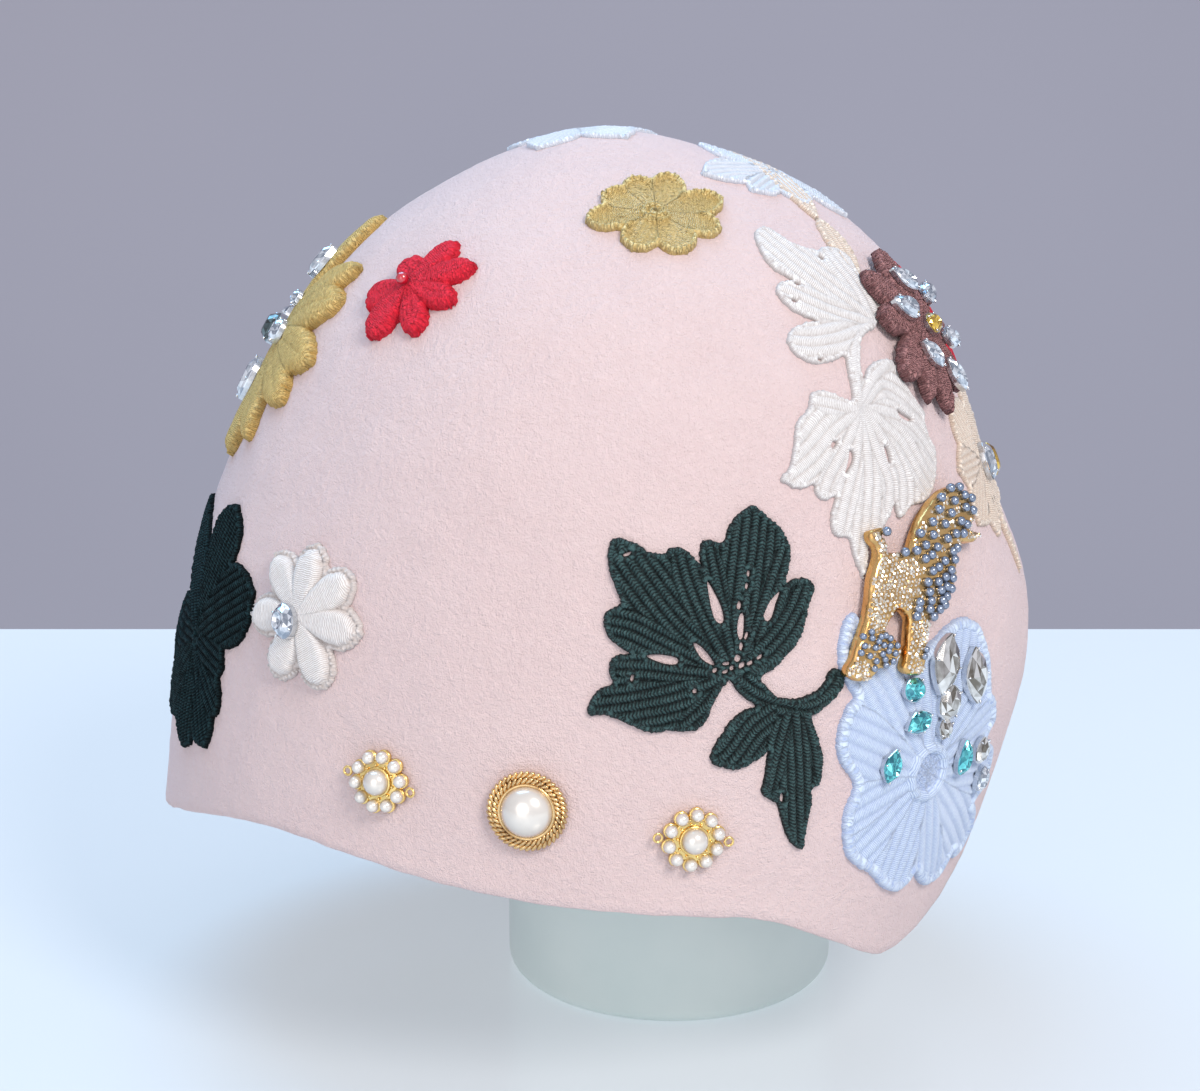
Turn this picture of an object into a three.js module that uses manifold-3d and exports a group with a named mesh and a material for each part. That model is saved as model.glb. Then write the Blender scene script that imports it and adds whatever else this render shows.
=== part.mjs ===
// A felt hat trimmed with stitched flowers and leaves, cut stones, pearl buttons and a brooch,
// standing on the plain round stand that holds its shape.
// Lengths are in millimetres, +Z is up, and the origin is the middle of the stand's foot.
// The trimmed side faces -Y.
import * as THREE from 'three';
import { mergeVertices } from 'three/addons/utils/BufferGeometryUtils.js';
import Module from 'manifold-3d';

const wasm = await Module();
wasm.setup();
const { degToRad } = THREE.MathUtils;
const fullTurn = 2 * Math.PI;

// The felt body
const rimClearance = 24; // from the table to the lowest corner of the rim
const hatHeight = 196; // from that corner to the crown
const hatShift = -18; // the hat's axis beside the stand's
const reachLeft = 114;
const reachRight = 111;
const reachFront = 103;
const reachBack = 88;
const feltThickness = 2.5;
const dentDepth = 2;

// The stand
const standRadius = 42.5;
const standFootRadius = 4;
const standDomeHeight = 42;

// Gaps between pieces
const pieceGap = 0.35;
const trimGap = 0.8; // between trims stitched side by side

// Thickness of the trims
const laceThickness = 1.5;
const padEdge = 1.2;
const padCrown = 2.6;
const onFelt = pieceGap;
const onLace = onFelt + laceThickness + pieceGap;

// Reach of each stitched trim from its middle
const greenSpraySize = 40;
const greenLeafSize = 40;
const daisySize = 18;
const mustardSize = 38;
const redFlowerSize = 16;
const goldFlowerSize = 17;
const silverLeafSize = 25;
const crownMotifSize = 21;
const ivorySpraySize = 40;
const brownFlowerSize = 22;
const brownAboveBeige = 34.3; // from the beige leaf's middle up to the brown flower's
const redPatchSize = 17;
const beigeLeafSize = 34;
const blueFlowerSize = 40;
const blueRingRadius = 5.6;
const blueRingThickness = 1.1;

// Jewelled trims
const buttonRadius = 9.1;
const buttonPlate = 1.4;
const ropeThickness = 0.75;
const ropeFlattening = 0.14; // of each twisted wire pair, as a share of its thickness
const buttonPearlRadius = 5.3;
const clusterRadius = 5.8; // to the middles of the small pearls
const clusterPearlRadius = 1.5;
const clusterPearls = 10;
const clusterPlate = 1.3;
const clusterHeartRadius = 3;
const clusterLoopRadius = 1.2;
const clusterLoopWire = 0.4;
const broochSize = 44;
const broochAboveFlower = 44.3; // from the blue flower's middle up to the brooch's
const broochPlate = 1.8;
const broochPad = 3.2;
const redBeadRadius = 1.5;

// How finely round forms are divided
const feltAround = 40;
const feltRowsOutside = 14;
const feltRowsInside = 8;
const standAround = 26;
const trimSag = 0.26; // how far an edge of a trim may fall inside its curve over the felt
const lobeSteps = 4;

// Horizontal sections of the felt from the rim's lowest corner to the crown. rise is a share of the
// hat's height, and the four reaches are shares of the named reaches.
const hatSections = [
  { rise: 0.0, left: 1.01, right: 0.79, front: 1.01, back: 0.98 },
  { rise: 0.1, left: 1.0, right: 0.865, front: 1.0, back: 0.99 },
  { rise: 0.22, left: 0.985, right: 0.935, front: 0.99, back: 1.0 },
  { rise: 0.33, left: 0.955, right: 0.985, front: 0.965, back: 0.99 },
  { rise: 0.43, left: 0.915, right: 0.98, front: 0.935, back: 0.975 },
  { rise: 0.53, left: 0.86, right: 0.905, front: 0.89, back: 0.94 },
  { rise: 0.63, left: 0.79, right: 0.84, front: 0.825, back: 0.885 },
  { rise: 0.725, left: 0.7, right: 0.785, front: 0.74, back: 0.81 },
  { rise: 0.81, left: 0.605, right: 0.69, front: 0.625, back: 0.705 },
  { rise: 0.885, left: 0.48, right: 0.56, front: 0.49, back: 0.56 },
  { rise: 0.945, left: 0.31, right: 0.39, front: 0.32, back: 0.37 },
  { rise: 0.985, left: 0.14, right: 0.19, front: 0.145, back: 0.17 },
  { rise: 1.0, left: 0, right: 0, front: 0, back: 0 },
];

// The cut edge: it climbs a little over the face side and drops to a rounded corner on the right.
// Azimuths are degrees about the hat's axis, 0 to the right and -90 to the front.
const rimLine = [
  { azimuth: -180, rise: 0.11 },
  { azimuth: -148, rise: 0.2 },
  { azimuth: -134, rise: 0.22 },
  { azimuth: -104, rise: 0.186 },
  { azimuth: -87, rise: 0.167 },
  { azimuth: -68, rise: 0.148 },
  { azimuth: -56, rise: 0.085 },
  { azimuth: -46, rise: 0.035 },
  { azimuth: -38, rise: 0.04 },
  { azimuth: -15, rise: 0.1 },
  { azimuth: 20, rise: 0.115 },
  { azimuth: 90, rise: 0.07 },
  { azimuth: 140, rise: 0.07 },
  { azimuth: 180, rise: 0.11 },
];

// Soft hollows and swells of the felt. wide is in degrees, tall a share of the hat's height, and
// depth a share of dentDepth, below nothing where the felt swells out.
const dents = [
  { azimuth: -97, rise: 0.73, wide: 7, tall: 0.12, depth: 0.6 },
  { azimuth: -140, rise: 0.63, wide: 13, tall: 0.13, depth: 0.9 },
  { azimuth: -114, rise: 0.86, wide: 9, tall: 0.05, depth: -0.5 },
  { azimuth: -104, rise: 0.93, wide: 16, tall: 0.03, depth: 0.5 },
  { azimuth: -52, rise: 0.85, wide: 6, tall: 0.1, depth: 0.5 },
  { azimuth: 35, rise: 0.6, wide: 14, tall: 0.12, depth: 0.9 },
  { azimuth: 110, rise: 0.45, wide: 12, tall: 0.2, depth: 0.8 },
];

// Lobes and petals of the stitched trims. x and y place the root, and length and width are shares of
// the trim's size. aim is in degrees from the trim's own right, and belly above 1 moves the
// widest place towards the tip.
const greenSprayLobes = [
  { x: -0.08, y: 0.1, aim: 122, length: 0.8, width: 0.42, belly: 1.3 },
  { x: -0.05, y: 0.15, aim: 105, length: 0.6, width: 0.34, belly: 1.3 },
  { x: 0, y: 0.08, aim: 72, length: 0.9, width: 0.52, belly: 1.4 },
  { x: 0.08, y: 0, aim: 43, length: 0.7, width: 0.33, belly: 1.2 },
  { x: -0.06, y: 0.08, aim: 156, length: 0.62, width: 0.38, belly: 1.4 },
  { x: -0.03, y: -0.02, aim: 191, length: 0.72, width: 0.3, belly: 0.9 },
  { x: 0, y: -0.02, aim: 214, length: 0.52, width: 0.28, belly: 1.2 },
  { x: 0.02, y: 0.02, aim: 240, length: 0.38, width: 0.24, belly: 1.2 },
  { x: 0.32, y: -0.16, aim: 217, length: 0.5, width: 0.24, belly: 1 },
  { x: 0.41, y: -0.18, aim: 273, length: 0.88, width: 0.28, belly: 0.9 },
  { x: 0.43, y: -0.4, aim: 232, length: 0.36, width: 0.16, belly: 0.8 },
  { x: 0.44, y: -0.4, aim: 299, length: 0.34, width: 0.16, belly: 0.8 },
];
const greenStem = [
  { x: 0, y: 0 },
  { x: 0.18, y: -0.13 },
  { x: 0.38, y: -0.18 },
  { x: 0.56, y: -0.15 },
  { x: 0.69, y: -0.04 },
];
const greenStemWidth = 0.09;
const greenLeafLobes = [
  { x: 0, y: 0.1, aim: 80, length: 0.8, width: 0.36, belly: 1 },
  { x: 0, y: 0.05, aim: 38, length: 0.62, width: 0.42, belly: 1.3 },
  { x: 0, y: 0, aim: 2, length: 0.42, width: 0.32, belly: 1.3 },
  { x: 0, y: -0.05, aim: -42, length: 0.58, width: 0.4, belly: 1.3 },
  { x: 0, y: -0.05, aim: -82, length: 0.66, width: 0.4, belly: 1.3 },
  { x: 0, y: 0, aim: 232, length: 0.7, width: 0.4, belly: 1.3 },
  { x: 0, y: 0, aim: 184, length: 0.62, width: 0.4, belly: 1.3 },
  { x: 0, y: 0.05, aim: 122, length: 1.08, width: 0.34, belly: 1.2 },
];
const daisyPetals = [
  { x: 0, y: 0, aim: 2, length: 1, width: 0.66, belly: 1.5 },
  { x: 0, y: 0, aim: 43, length: 0.98, width: 0.62, belly: 1.5 },
  { x: 0, y: 0, aim: 92, length: 0.94, width: 0.62, belly: 1.5 },
  { x: 0, y: 0, aim: 138, length: 1, width: 0.62, belly: 1.5 },
  { x: 0, y: 0, aim: 190, length: 1, width: 0.6, belly: 1.5 },
  { x: 0, y: 0, aim: 250, length: 0.9, width: 0.68, belly: 1.5 },
  { x: 0, y: 0, aim: 309, length: 1, width: 0.66, belly: 1.5 },
];
const mustardPetals = [
  { x: 0, y: 0, aim: 88, length: 1, width: 0.4, belly: 1.1 },
  { x: 0, y: 0, aim: 50, length: 1, width: 0.42, belly: 1.3 },
  { x: 0, y: 0, aim: 6, length: 0.94, width: 0.5, belly: 1.4 },
  { x: 0, y: 0, aim: -34, length: 0.94, width: 0.4, belly: 1.3 },
  { x: 0, y: 0, aim: -70, length: 0.92, width: 0.38, belly: 1.3 },
  { x: 0, y: 0, aim: -120, length: 0.9, width: 0.46, belly: 1.3 },
  { x: 0, y: 0, aim: -172, length: 0.9, width: 0.48, belly: 1.3 },
  { x: 0, y: 0, aim: 134, length: 0.94, width: 0.46, belly: 1.3 },
];
const redPetals = [
  { x: 0, y: 0, aim: 68, length: 0.9, width: 0.55, belly: 1.4 },
  { x: 0, y: 0, aim: 32, length: 1.05, width: 0.5, belly: 1.2 },
  { x: 0, y: 0, aim: -4, length: 0.92, width: 0.5, belly: 1.3 },
  { x: 0, y: 0, aim: -51, length: 0.88, width: 0.5, belly: 1.4 },
  { x: 0, y: 0, aim: -108, length: 0.96, width: 0.6, belly: 1.5 },
  { x: 0, y: 0, aim: 209, length: 0.82, width: 0.6, belly: 1.4 },
  { x: 0, y: 0, aim: 128, length: 0.55, width: 0.5, belly: 1.3 },
];
const goldPetals = [
  { x: 0, y: 0, aim: 13, length: 1.08, width: 0.6, belly: 1.4 },
  { x: 0, y: 0, aim: 57, length: 0.92, width: 0.6, belly: 1.4 },
  { x: 0, y: 0, aim: 98, length: 0.78, width: 0.55, belly: 1.4 },
  { x: 0, y: 0, aim: 139, length: 0.8, width: 0.6, belly: 1.4 },
  { x: 0, y: 0, aim: 176, length: 0.96, width: 0.55, belly: 1.3 },
  { x: 0, y: 0, aim: 231, length: 0.8, width: 0.6, belly: 1.4 },
  { x: 0, y: 0, aim: 286, length: 0.82, width: 0.65, belly: 1.4 },
  { x: 0, y: 0, aim: 336, length: 0.92, width: 0.6, belly: 1.4 },
];
const silverLobes = [
  { x: 0, y: 0, aim: 140, length: 1, width: 0.46, belly: 1.3 },
  { x: 0, y: 0, aim: 168, length: 0.74, width: 0.42, belly: 1.3 },
  { x: 0, y: 0, aim: 222, length: 0.58, width: 0.44, belly: 1.3 },
  { x: 0, y: 0, aim: 284, length: 0.86, width: 0.42, belly: 1.3 },
  { x: 0, y: 0, aim: 328, length: 0.92, width: 0.42, belly: 1.3 },
  { x: 0, y: 0, aim: 20, length: 0.8, width: 0.48, belly: 1.3 },
  { x: 0, y: 0, aim: 80, length: 0.8, width: 0.5, belly: 1.3 },
];
const crownLobes = [
  { x: 0, y: 0, aim: 20, length: 0.9, width: 0.7, belly: 1.4 },
  { x: 0, y: 0, aim: 90, length: 0.9, width: 0.7, belly: 1.4 },
  { x: 0, y: 0, aim: 160, length: 0.95, width: 0.7, belly: 1.4 },
  { x: 0, y: 0, aim: 232, length: 1, width: 0.7, belly: 1.4 },
  { x: 0, y: 0, aim: 305, length: 0.9, width: 0.7, belly: 1.4 },
];
const ivoryLobes = [
  { x: 0.36, y: 0.46, aim: 117, length: 0.86, width: 0.28, belly: 1.2 },
  { x: 0.36, y: 0.46, aim: 98, length: 0.58, width: 0.28, belly: 1.2 },
  { x: 0.36, y: 0.45, aim: 146, length: 0.66, width: 0.24, belly: 1.2 },
  { x: 0.34, y: 0.42, aim: 180, length: 0.64, width: 0.25, belly: 1.2 },
  { x: 0.05, y: 0.02, aim: 36, length: 0.42, width: 0.3, belly: 1.4 },
  { x: 0.02, y: 0.02, aim: -6, length: 0.52, width: 0.26, belly: 1.4 },
  { x: 0, y: 0, aim: 160, length: 0.38, width: 0.28, belly: 1.4 },
  { x: 0, y: 0, aim: 201, length: 0.7, width: 0.34, belly: 1.3 },
  { x: 0, y: 0, aim: 228, length: 0.64, width: 0.24, belly: 1.4 },
  { x: 0, y: 0, aim: 246, length: 0.8, width: 0.22, belly: 1.5 },
  { x: 0, y: 0, aim: 267, length: 0.72, width: 0.28, belly: 1.5 },
  { x: 0, y: 0, aim: 290, length: 0.7, width: 0.28, belly: 1.5 },
  { x: 0, y: 0, aim: 313, length: 0.7, width: 0.3, belly: 1.5 },
  { x: 0, y: 0, aim: 334, length: 0.62, width: 0.26, belly: 1.5 },
  { x: -0.22, y: -0.6, aim: 258, length: 0.42, width: 0.1, belly: 0.8 },
];
const ivoryStem = [
  { x: 0.36, y: 0.46 },
  { x: 0.2, y: 0.38 },
  { x: 0.1, y: 0.2 },
  { x: 0, y: 0 },
];
const ivoryStemWidth = 0.08;
const brownPetals = [
  { x: 0, y: 0, aim: 72, length: 0.95, width: 0.42, belly: 1.2 },
  { x: 0, y: 0, aim: 112, length: 0.82, width: 0.42, belly: 1.2 },
  { x: 0, y: 0, aim: 152, length: 0.6, width: 0.42, belly: 1.2 },
  { x: 0, y: 0, aim: 210, length: 0.84, width: 0.42, belly: 1.2 },
  { x: 0, y: 0, aim: 236, length: 0.9, width: 0.36, belly: 1.2 },
  { x: 0, y: 0, aim: 262, length: 1, width: 0.36, belly: 1.2 },
  { x: 0, y: 0, aim: 296, length: 0.95, width: 0.42, belly: 1.2 },
  { x: 0, y: 0, aim: 340, length: 0.7, width: 0.42, belly: 1.2 },
  { x: 0, y: 0, aim: 30, length: 0.7, width: 0.42, belly: 1.2 },
];
const redPatchLobes = [
  { x: 0, y: 0, aim: 84, length: 1, width: 0.6, belly: 1 },
  { x: 0, y: 0, aim: 276, length: 1, width: 0.6, belly: 1 },
  { x: 0, y: 0, aim: 0, length: 0.9, width: 0.7, belly: 1.1 },
];
const beigeLobes = [
  { x: 0, y: 0, aim: 172, length: 0.52, width: 0.4, belly: 1.3 },
  { x: 0, y: 0, aim: 214, length: 0.6, width: 0.4, belly: 1.4 },
  { x: 0, y: 0, aim: 252, length: 0.56, width: 0.36, belly: 1.4 },
  { x: 0, y: 0, aim: 290, length: 0.5, width: 0.4, belly: 1.4 },
  { x: 0.1, y: -0.3, aim: 272, length: 0.62, width: 0.1, belly: 0.8 },
  { x: 0, y: 0, aim: 325, length: 0.6, width: 0.4, belly: 1.3 },
  { x: 0, y: 0, aim: 10, length: 0.7, width: 0.42, belly: 1.3 },
  { x: 0, y: 0, aim: 60, length: 0.7, width: 0.42, belly: 1.3 },
  { x: 0, y: 0, aim: 118, length: 0.6, width: 0.42, belly: 1.3 },
];
const beigeStripLobes = [
  { x: 0, y: 0, aim: 60, length: 1.1, width: 0.26, belly: 0.9 },
  { x: 0, y: 0, aim: 244, length: 0.6, width: 0.22, belly: 0.9 },
];
const blueLobes = [
  { x: 0, y: 0, aim: 113, length: 1.06, width: 0.4, belly: 1.4 },
  { x: 0, y: 0, aim: 150, length: 0.8, width: 0.44, belly: 1.4 },
  { x: 0, y: 0, aim: 182, length: 0.62, width: 0.38, belly: 1.4 },
  { x: 0, y: 0, aim: 208, length: 0.74, width: 0.38, belly: 1.5 },
  { x: 0, y: 0, aim: 248, length: 0.8, width: 0.46, belly: 1.5 },
  { x: 0, y: 0, aim: 282, length: 0.84, width: 0.38, belly: 1.5 },
  { x: 0, y: 0, aim: 314, length: 0.8, width: 0.46, belly: 1.5 },
  { x: 0, y: 0, aim: 352, length: 0.74, width: 0.46, belly: 1.5 },
  { x: 0, y: 0, aim: 28, length: 0.78, width: 0.46, belly: 1.5 },
  { x: 0, y: 0, aim: 62, length: 0.92, width: 0.42, belly: 1.5 },
  { x: 0, y: 0, aim: 90, length: 0.9, width: 0.42, belly: 1.5 },
];

// The brooch: a small dog standing, cut from plate. Both ends of a limb are shares of broochSize,
// wide is its width there, and padded limbs carry the raised fields of tiny pearls.
const broochLimbs = [
  { from: [-0.2, 0.0], to: [0.2, 0.06], wide: 0.22, padded: false },
  { from: [0.2, 0.04], to: [0.5, 0.34], wide: 0.26, padded: true },
  { from: [0.5, 0.34], to: [0.56, 0.42], wide: 0.2, padded: true },
  { from: [0.52, 0.32], to: [0.64, 0.18], wide: 0.1, padded: false },
  { from: [-0.18, 0.04], to: [-0.2, 0.3], wide: 0.07, padded: false },
  { from: [-0.2, 0.28], to: [-0.16, 0.31], wide: 0.12, padded: false },
  { from: [-0.2, -0.04], to: [-0.24, -0.18], wide: 0.14, padded: false },
  { from: [-0.23, -0.24], to: [-0.2, -0.28], wide: 0.19, padded: true },
  { from: [-0.25, -0.3], to: [-0.36, -0.4], wide: 0.09, padded: false },
  { from: [0.12, -0.02], to: [0.06, -0.24], wide: 0.13, padded: false },
  { from: [0.05, -0.3], to: [0.04, -0.34], wide: 0.15, padded: true },
  { from: [0.02, -0.36], to: [0.0, -0.43], wide: 0.09, padded: false },
];

// Cut stones on the flowers. x and y are shares of the flower's size, the rest millimetres, and turn
// is in degrees. Each outline is one of the stoneOutlines below.
const mustardStones = [
  { x: 0, y: 0, outline: 'oval', length: 9, width: 8.4, height: 4.4, turn: 0, look: 'deepStone' },
  { x: 0.26, y: 0.06, outline: 'oval', length: 7, width: 6, height: 3, turn: 80, look: 'crystal' },
  { x: 0.1, y: 0.27, outline: 'oval', length: 4.6, width: 4.2, height: 2.4, turn: 0, look: 'crystal' },
  { x: 0.04, y: 0.54, outline: 'navette', length: 10, width: 5.4, height: 3, turn: 84, look: 'crystal' },
  { x: 0.06, y: -0.36, outline: 'navette', length: 12, width: 5.6, height: 3, turn: 96, look: 'crystal' },
  { x: -0.3, y: 0.02, outline: 'oval', length: 8, width: 6, height: 3, turn: 70, look: 'crystal' },
];
const brownStones = [
  { x: 0.12, y: -0.08, outline: 'oval', length: 5.6, width: 5.6, height: 3, turn: 0, look: 'amber' },
  { x: -0.2, y: 0.22, outline: 'pear', length: 9, width: 6.6, height: 3, turn: 140, look: 'crystal' },
  { x: 0.16, y: 0.46, outline: 'navette', length: 9, width: 4.6, height: 2.8, turn: 120, look: 'crystal' },
  { x: 0.5, y: 0.22, outline: 'oval', length: 7, width: 5.4, height: 2.8, turn: 30, look: 'crystal' },
  { x: -0.22, y: -0.34, outline: 'navette', length: 8.6, width: 4.4, height: 2.8, turn: 110, look: 'crystal' },
  { x: 0.44, y: -0.3, outline: 'pear', length: 7.4, width: 5.4, height: 2.8, turn: -40, look: 'crystal' },
  { x: 0.12, y: -0.66, outline: 'navette', length: 10, width: 4.4, height: 2.8, turn: 108, look: 'crystal' },
];
const beigeStones = [
  { x: 0.1, y: -0.04, outline: 'oval', length: 10, width: 6, height: 3, turn: 84, look: 'crystal' },
  { x: 0.4, y: -0.1, outline: 'oval', length: 9, width: 6, height: 3, turn: 84, look: 'amber' },
];
const blueStones = [
  { x: -0.15, y: 0.54, outline: 'oval', length: 6.2, width: 6, height: 3, turn: 0, look: 'turquoise' },
  { x: -0.12, y: 0.34, outline: 'navette', length: 8, width: 5.6, height: 3, turn: 20, look: 'turquoise' },
  { x: -0.33, y: 0.12, outline: 'navette', length: 8.4, width: 5, height: 3, turn: 70, look: 'turquoise' },
  { x: 0.3, y: 0.02, outline: 'pear', length: 9, width: 5.4, height: 3, turn: 80, look: 'turquoise' },
  { x: 0.12, y: 0.63, outline: 'navette', length: 13, width: 7, height: 3.4, turn: 66, look: 'smoke' },
  { x: 0.4, y: 0.5, outline: 'navette', length: 12, width: 6.6, height: 3.4, turn: 84, look: 'smoke' },
  { x: 0.14, y: 0.4, outline: 'oval', length: 7.6, width: 5.6, height: 3, turn: 70, look: 'smoke' },
  { x: 0.1, y: 0.25, outline: 'pear', length: 4.6, width: 3.8, height: 2.8, turn: 250, look: 'smoke' },
  { x: 0.52, y: 0, outline: 'oval', length: 6, width: 4.6, height: 2.8, turn: 80, look: 'smoke' },
  { x: 0.6, y: -0.22, outline: 'oval', length: 6.6, width: 4.6, height: 2.8, turn: 80, look: 'crystal' },
];
const daisyStone = { x: -0.1, y: -0.1, outline: 'oval', length: 8.6, width: 7, height: 3.4, turn: 120,
  look: 'crystal' };

// Where each trim is stitched: azimuth and spin in degrees, rise as a share of the hat's height.
const places = {
  greenSpray: { azimuth: -74, rise: 0.441, spin: 0 },
  greenLeaf: { azimuth: -160, rise: 0.39, spin: 0 },
  daisy: { azimuth: -135, rise: 0.472, spin: 0 },
  mustard: { azimuth: 179, rise: 0.735, spin: 0 },
  redFlower: { azimuth: -136, rise: 0.838, spin: 0 },
  goldFlower: { azimuth: -72, rise: 0.923, spin: 0 },
  silverLeaf: { azimuth: -5, rise: 0.945, spin: 0 },
  crownMotif: { azimuth: 128, rise: 0.991, spin: -105 },
  ivorySpray: { azimuth: -44.4, rise: 0.713, spin: 0 },
  brownFlower: { azimuth: -22, rise: 0.6 + brownAboveBeige / hatHeight, spin: 0 },
  redPatch: { azimuth: -6, rise: 0.765, spin: 0 },
  beigeLeaf: { azimuth: -13, rise: 0.6, spin: 0 },
  beigeStrip: { azimuth: -20, rise: 0.9, spin: 0 },
  blueFlower: { azimuth: -43, rise: 0.282, spin: 0 },
  brooch: { azimuth: -48, rise: 0.282 + broochAboveFlower / hatHeight, spin: 0 },
  clusterLeft: { azimuth: -119.5, rise: 0.305, spin: 0 },
  clusterRight: { azimuth: -78.4, rise: 0.255, spin: 0 },
  button: { azimuth: -99.4, rise: 0.291, spin: 0 },
};

// A smooth curve through a table's values, with places in rising order.
function curveThrough(along, values, place) {
  const last = along.length - 1;
  let i = 0;
  while (i < last - 1 && place > along[i + 1]) i += 1;
  const slope = (k) => {
    const before = Math.max(k - 1, 0);
    const after = Math.min(k + 1, last);
    return (values[after] - values[before]) / (along[after] - along[before]);
  };
  const span = along[i + 1] - along[i];
  const t = (place - along[i]) / span;
  const rising = t * t * (3 - 2 * t);
  return (1 - rising) * values[i] + rising * values[i + 1]
    + t * (1 - t) * span * ((1 - t) * slope(i) - t * slope(i + 1));
}

// The table goes on over the crown to the far side, so that every curve is round at the top.
const topRow = hatSections.length - 1;
const pastTop = hatSections[topRow - 1];
const sectionRows = [...hatSections, { rise: pastTop.rise, left: -pastTop.left,
  right: -pastTop.right, front: -pastTop.front, back: -pastTop.back }];
const rowPlaces = sectionRows.map((row, index) => index);
const sectionColumns = Object.fromEntries(['rise', 'left', 'right', 'front', 'back'].map(
  (name) => [name, sectionRows.map((row) => row[name])]));
const section = (name, row) => curveThrough(rowPlaces, sectionColumns[name], row);
const rowHeight = (row) => rimClearance + hatHeight * section('rise', row);
const heart = new THREE.Vector3(hatShift, 0, rimClearance + 0.4 * hatHeight);

function rowReach(azimuth, row) {
  const c = Math.cos(azimuth);
  const s = Math.sin(azimuth);
  const side = c < 0 ? reachLeft * section('left', row) : reachRight * section('right', row);
  const deep = s < 0 ? reachFront * section('front', row) : reachBack * section('back', row);
  const thin = 1e-6;
  return side < thin || deep < thin ? 0 : 1 / Math.hypot(c / side, s / deep);
}

// The row where a measure that grows with the row passes a value.
function rowWhere(measure, value) {
  let low = 0;
  let high = topRow;
  for (let halving = 0; halving < 28; halving += 1) {
    const middle = (low + high) / 2;
    if (measure(middle) < value) low = middle;
    else high = middle;
  }
  return (low + high) / 2;
}

function dentAt(azimuth, height) {
  const degrees = THREE.MathUtils.radToDeg(azimuth);
  const rise = (height - rimClearance) / hatHeight;
  return dents.reduce((sum, dent) => {
    const turn = THREE.MathUtils.euclideanModulo(degrees - dent.azimuth + 180, 360) - 180;
    const far = (turn / dent.wide) ** 2 + ((rise - dent.rise) / dent.tall) ** 2;
    return sum + dentDepth * dent.depth * Math.exp(-far);
  }, 0);
}

// The skin of the felt at one azimuth and row, with its dents pressed towards the heart.
function skinPoint(azimuth, row) {
  const reach = rowReach(azimuth, row);
  const point = new THREE.Vector3(heart.x + reach * Math.cos(azimuth),
    heart.y + reach * Math.sin(azimuth), rowHeight(row));
  const inward = heart.clone().sub(point).normalize();
  return point.addScaledVector(inward, dentAt(azimuth, point.z));
}

// The skin where a ray from the heart through a point leaves the hat.
function skinToward(point) {
  const out = point.clone().sub(heart);
  const azimuth = Math.atan2(out.y, out.x);
  const flat = Math.hypot(out.x, out.y);
  const climb = (row) => (rowHeight(row) - heart.z) * flat - rowReach(azimuth, row) * out.z;
  return skinPoint(azimuth, rowWhere(climb, 0));
}

function skinNormal(point) {
  const out = point.clone().sub(heart).normalize();
  const level = new THREE.Vector3(-out.y, out.x, 0);
  if (level.length() < 0.01) level.set(0, 1, 0);
  level.normalize();
  const climb = out.clone().cross(level);
  const step = 0.6;
  const slope = (way) => skinToward(point.clone().addScaledVector(way, step)).sub(
    skinToward(point.clone().addScaledVector(way, -step)));
  return slope(level).cross(slope(climb)).normalize();
}

// A frame on the skin: across to the wearer's view right, along towards the crown, normal outwards.
function frameAt({ azimuth, rise, spin }) {
  const angle = degToRad(azimuth);
  const point = skinPoint(angle, rowWhere((row) => section('rise', row), rise));
  const normal = skinNormal(point);
  const right = new THREE.Vector3(-Math.sin(angle), Math.cos(angle), 0);
  right.addScaledVector(normal, -right.dot(normal)).normalize();
  const across = right.applyAxisAngle(normal, degToRad(spin));
  return { point, normal, across, along: normal.clone().cross(across) };
}

// The frame reached by walking straight over the skin to x, y of a trim's flat pattern.
function walk(frame, x, y) {
  const distance = Math.hypot(x, y);
  const point = frame.point.clone();
  const normal = frame.normal.clone();
  if (distance < 1e-6) return { ...frame, point, normal };
  const heading = frame.across.clone().multiplyScalar(x / distance)
    .addScaledVector(frame.along, y / distance);
  const stride = 5;
  const steps = Math.ceil(distance / stride);
  for (let step = 0; step < steps; step += 1) {
    point.copy(skinToward(point.addScaledVector(heading, distance / steps)));
    normal.copy(skinNormal(point));
    heading.addScaledVector(normal, -heading.dot(normal)).normalize();
  }
  const aside = normal.clone().cross(heading);
  const across = heading.clone().multiplyScalar(x / distance).addScaledVector(aside, -y / distance);
  return { point, normal, across, along: normal.clone().cross(across) };
}

// Meshes and solids
function faceted(points, faces) {
  const geometry = new THREE.BufferGeometry();
  geometry.setAttribute('position', new THREE.Float32BufferAttribute(
    points.flatMap((p) => [p.x, p.y, p.z]), 3));
  geometry.setIndex(faces);
  return geometry;
}

function merged(geometry) {
  const bare = geometry.clone();
  bare.deleteAttribute('normal');
  bare.deleteAttribute('uv');
  const whole = mergeVertices(bare, 1e-4);
  const index = Array.from(whole.index.array);
  const kept = [];
  for (let i = 0; i < index.length; i += 3) {
    const [a, b, c] = index.slice(i, i + 3);
    if (a !== b && b !== c && c !== a) kept.push(a, b, c);
  }
  whole.setIndex(kept);
  return whole;
}

function solidOf(geometry) {
  const whole = merged(geometry);
  return new wasm.Manifold(new wasm.Mesh({ numProp: 3,
    vertProperties: new Float32Array(whole.attributes.position.array),
    triVerts: new Uint32Array(whole.index.array) }));
}

function geometryOf(solid) {
  const mesh = solid.getMesh();
  const geometry = new THREE.BufferGeometry();
  geometry.setAttribute('position', new THREE.Float32BufferAttribute(mesh.vertProperties, 3));
  geometry.setIndex(Array.from(mesh.triVerts));
  return geometry;
}

const joined = (geometries) => geometries.map(solidOf).reduce((whole, solid) => whole.add(solid));

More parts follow.
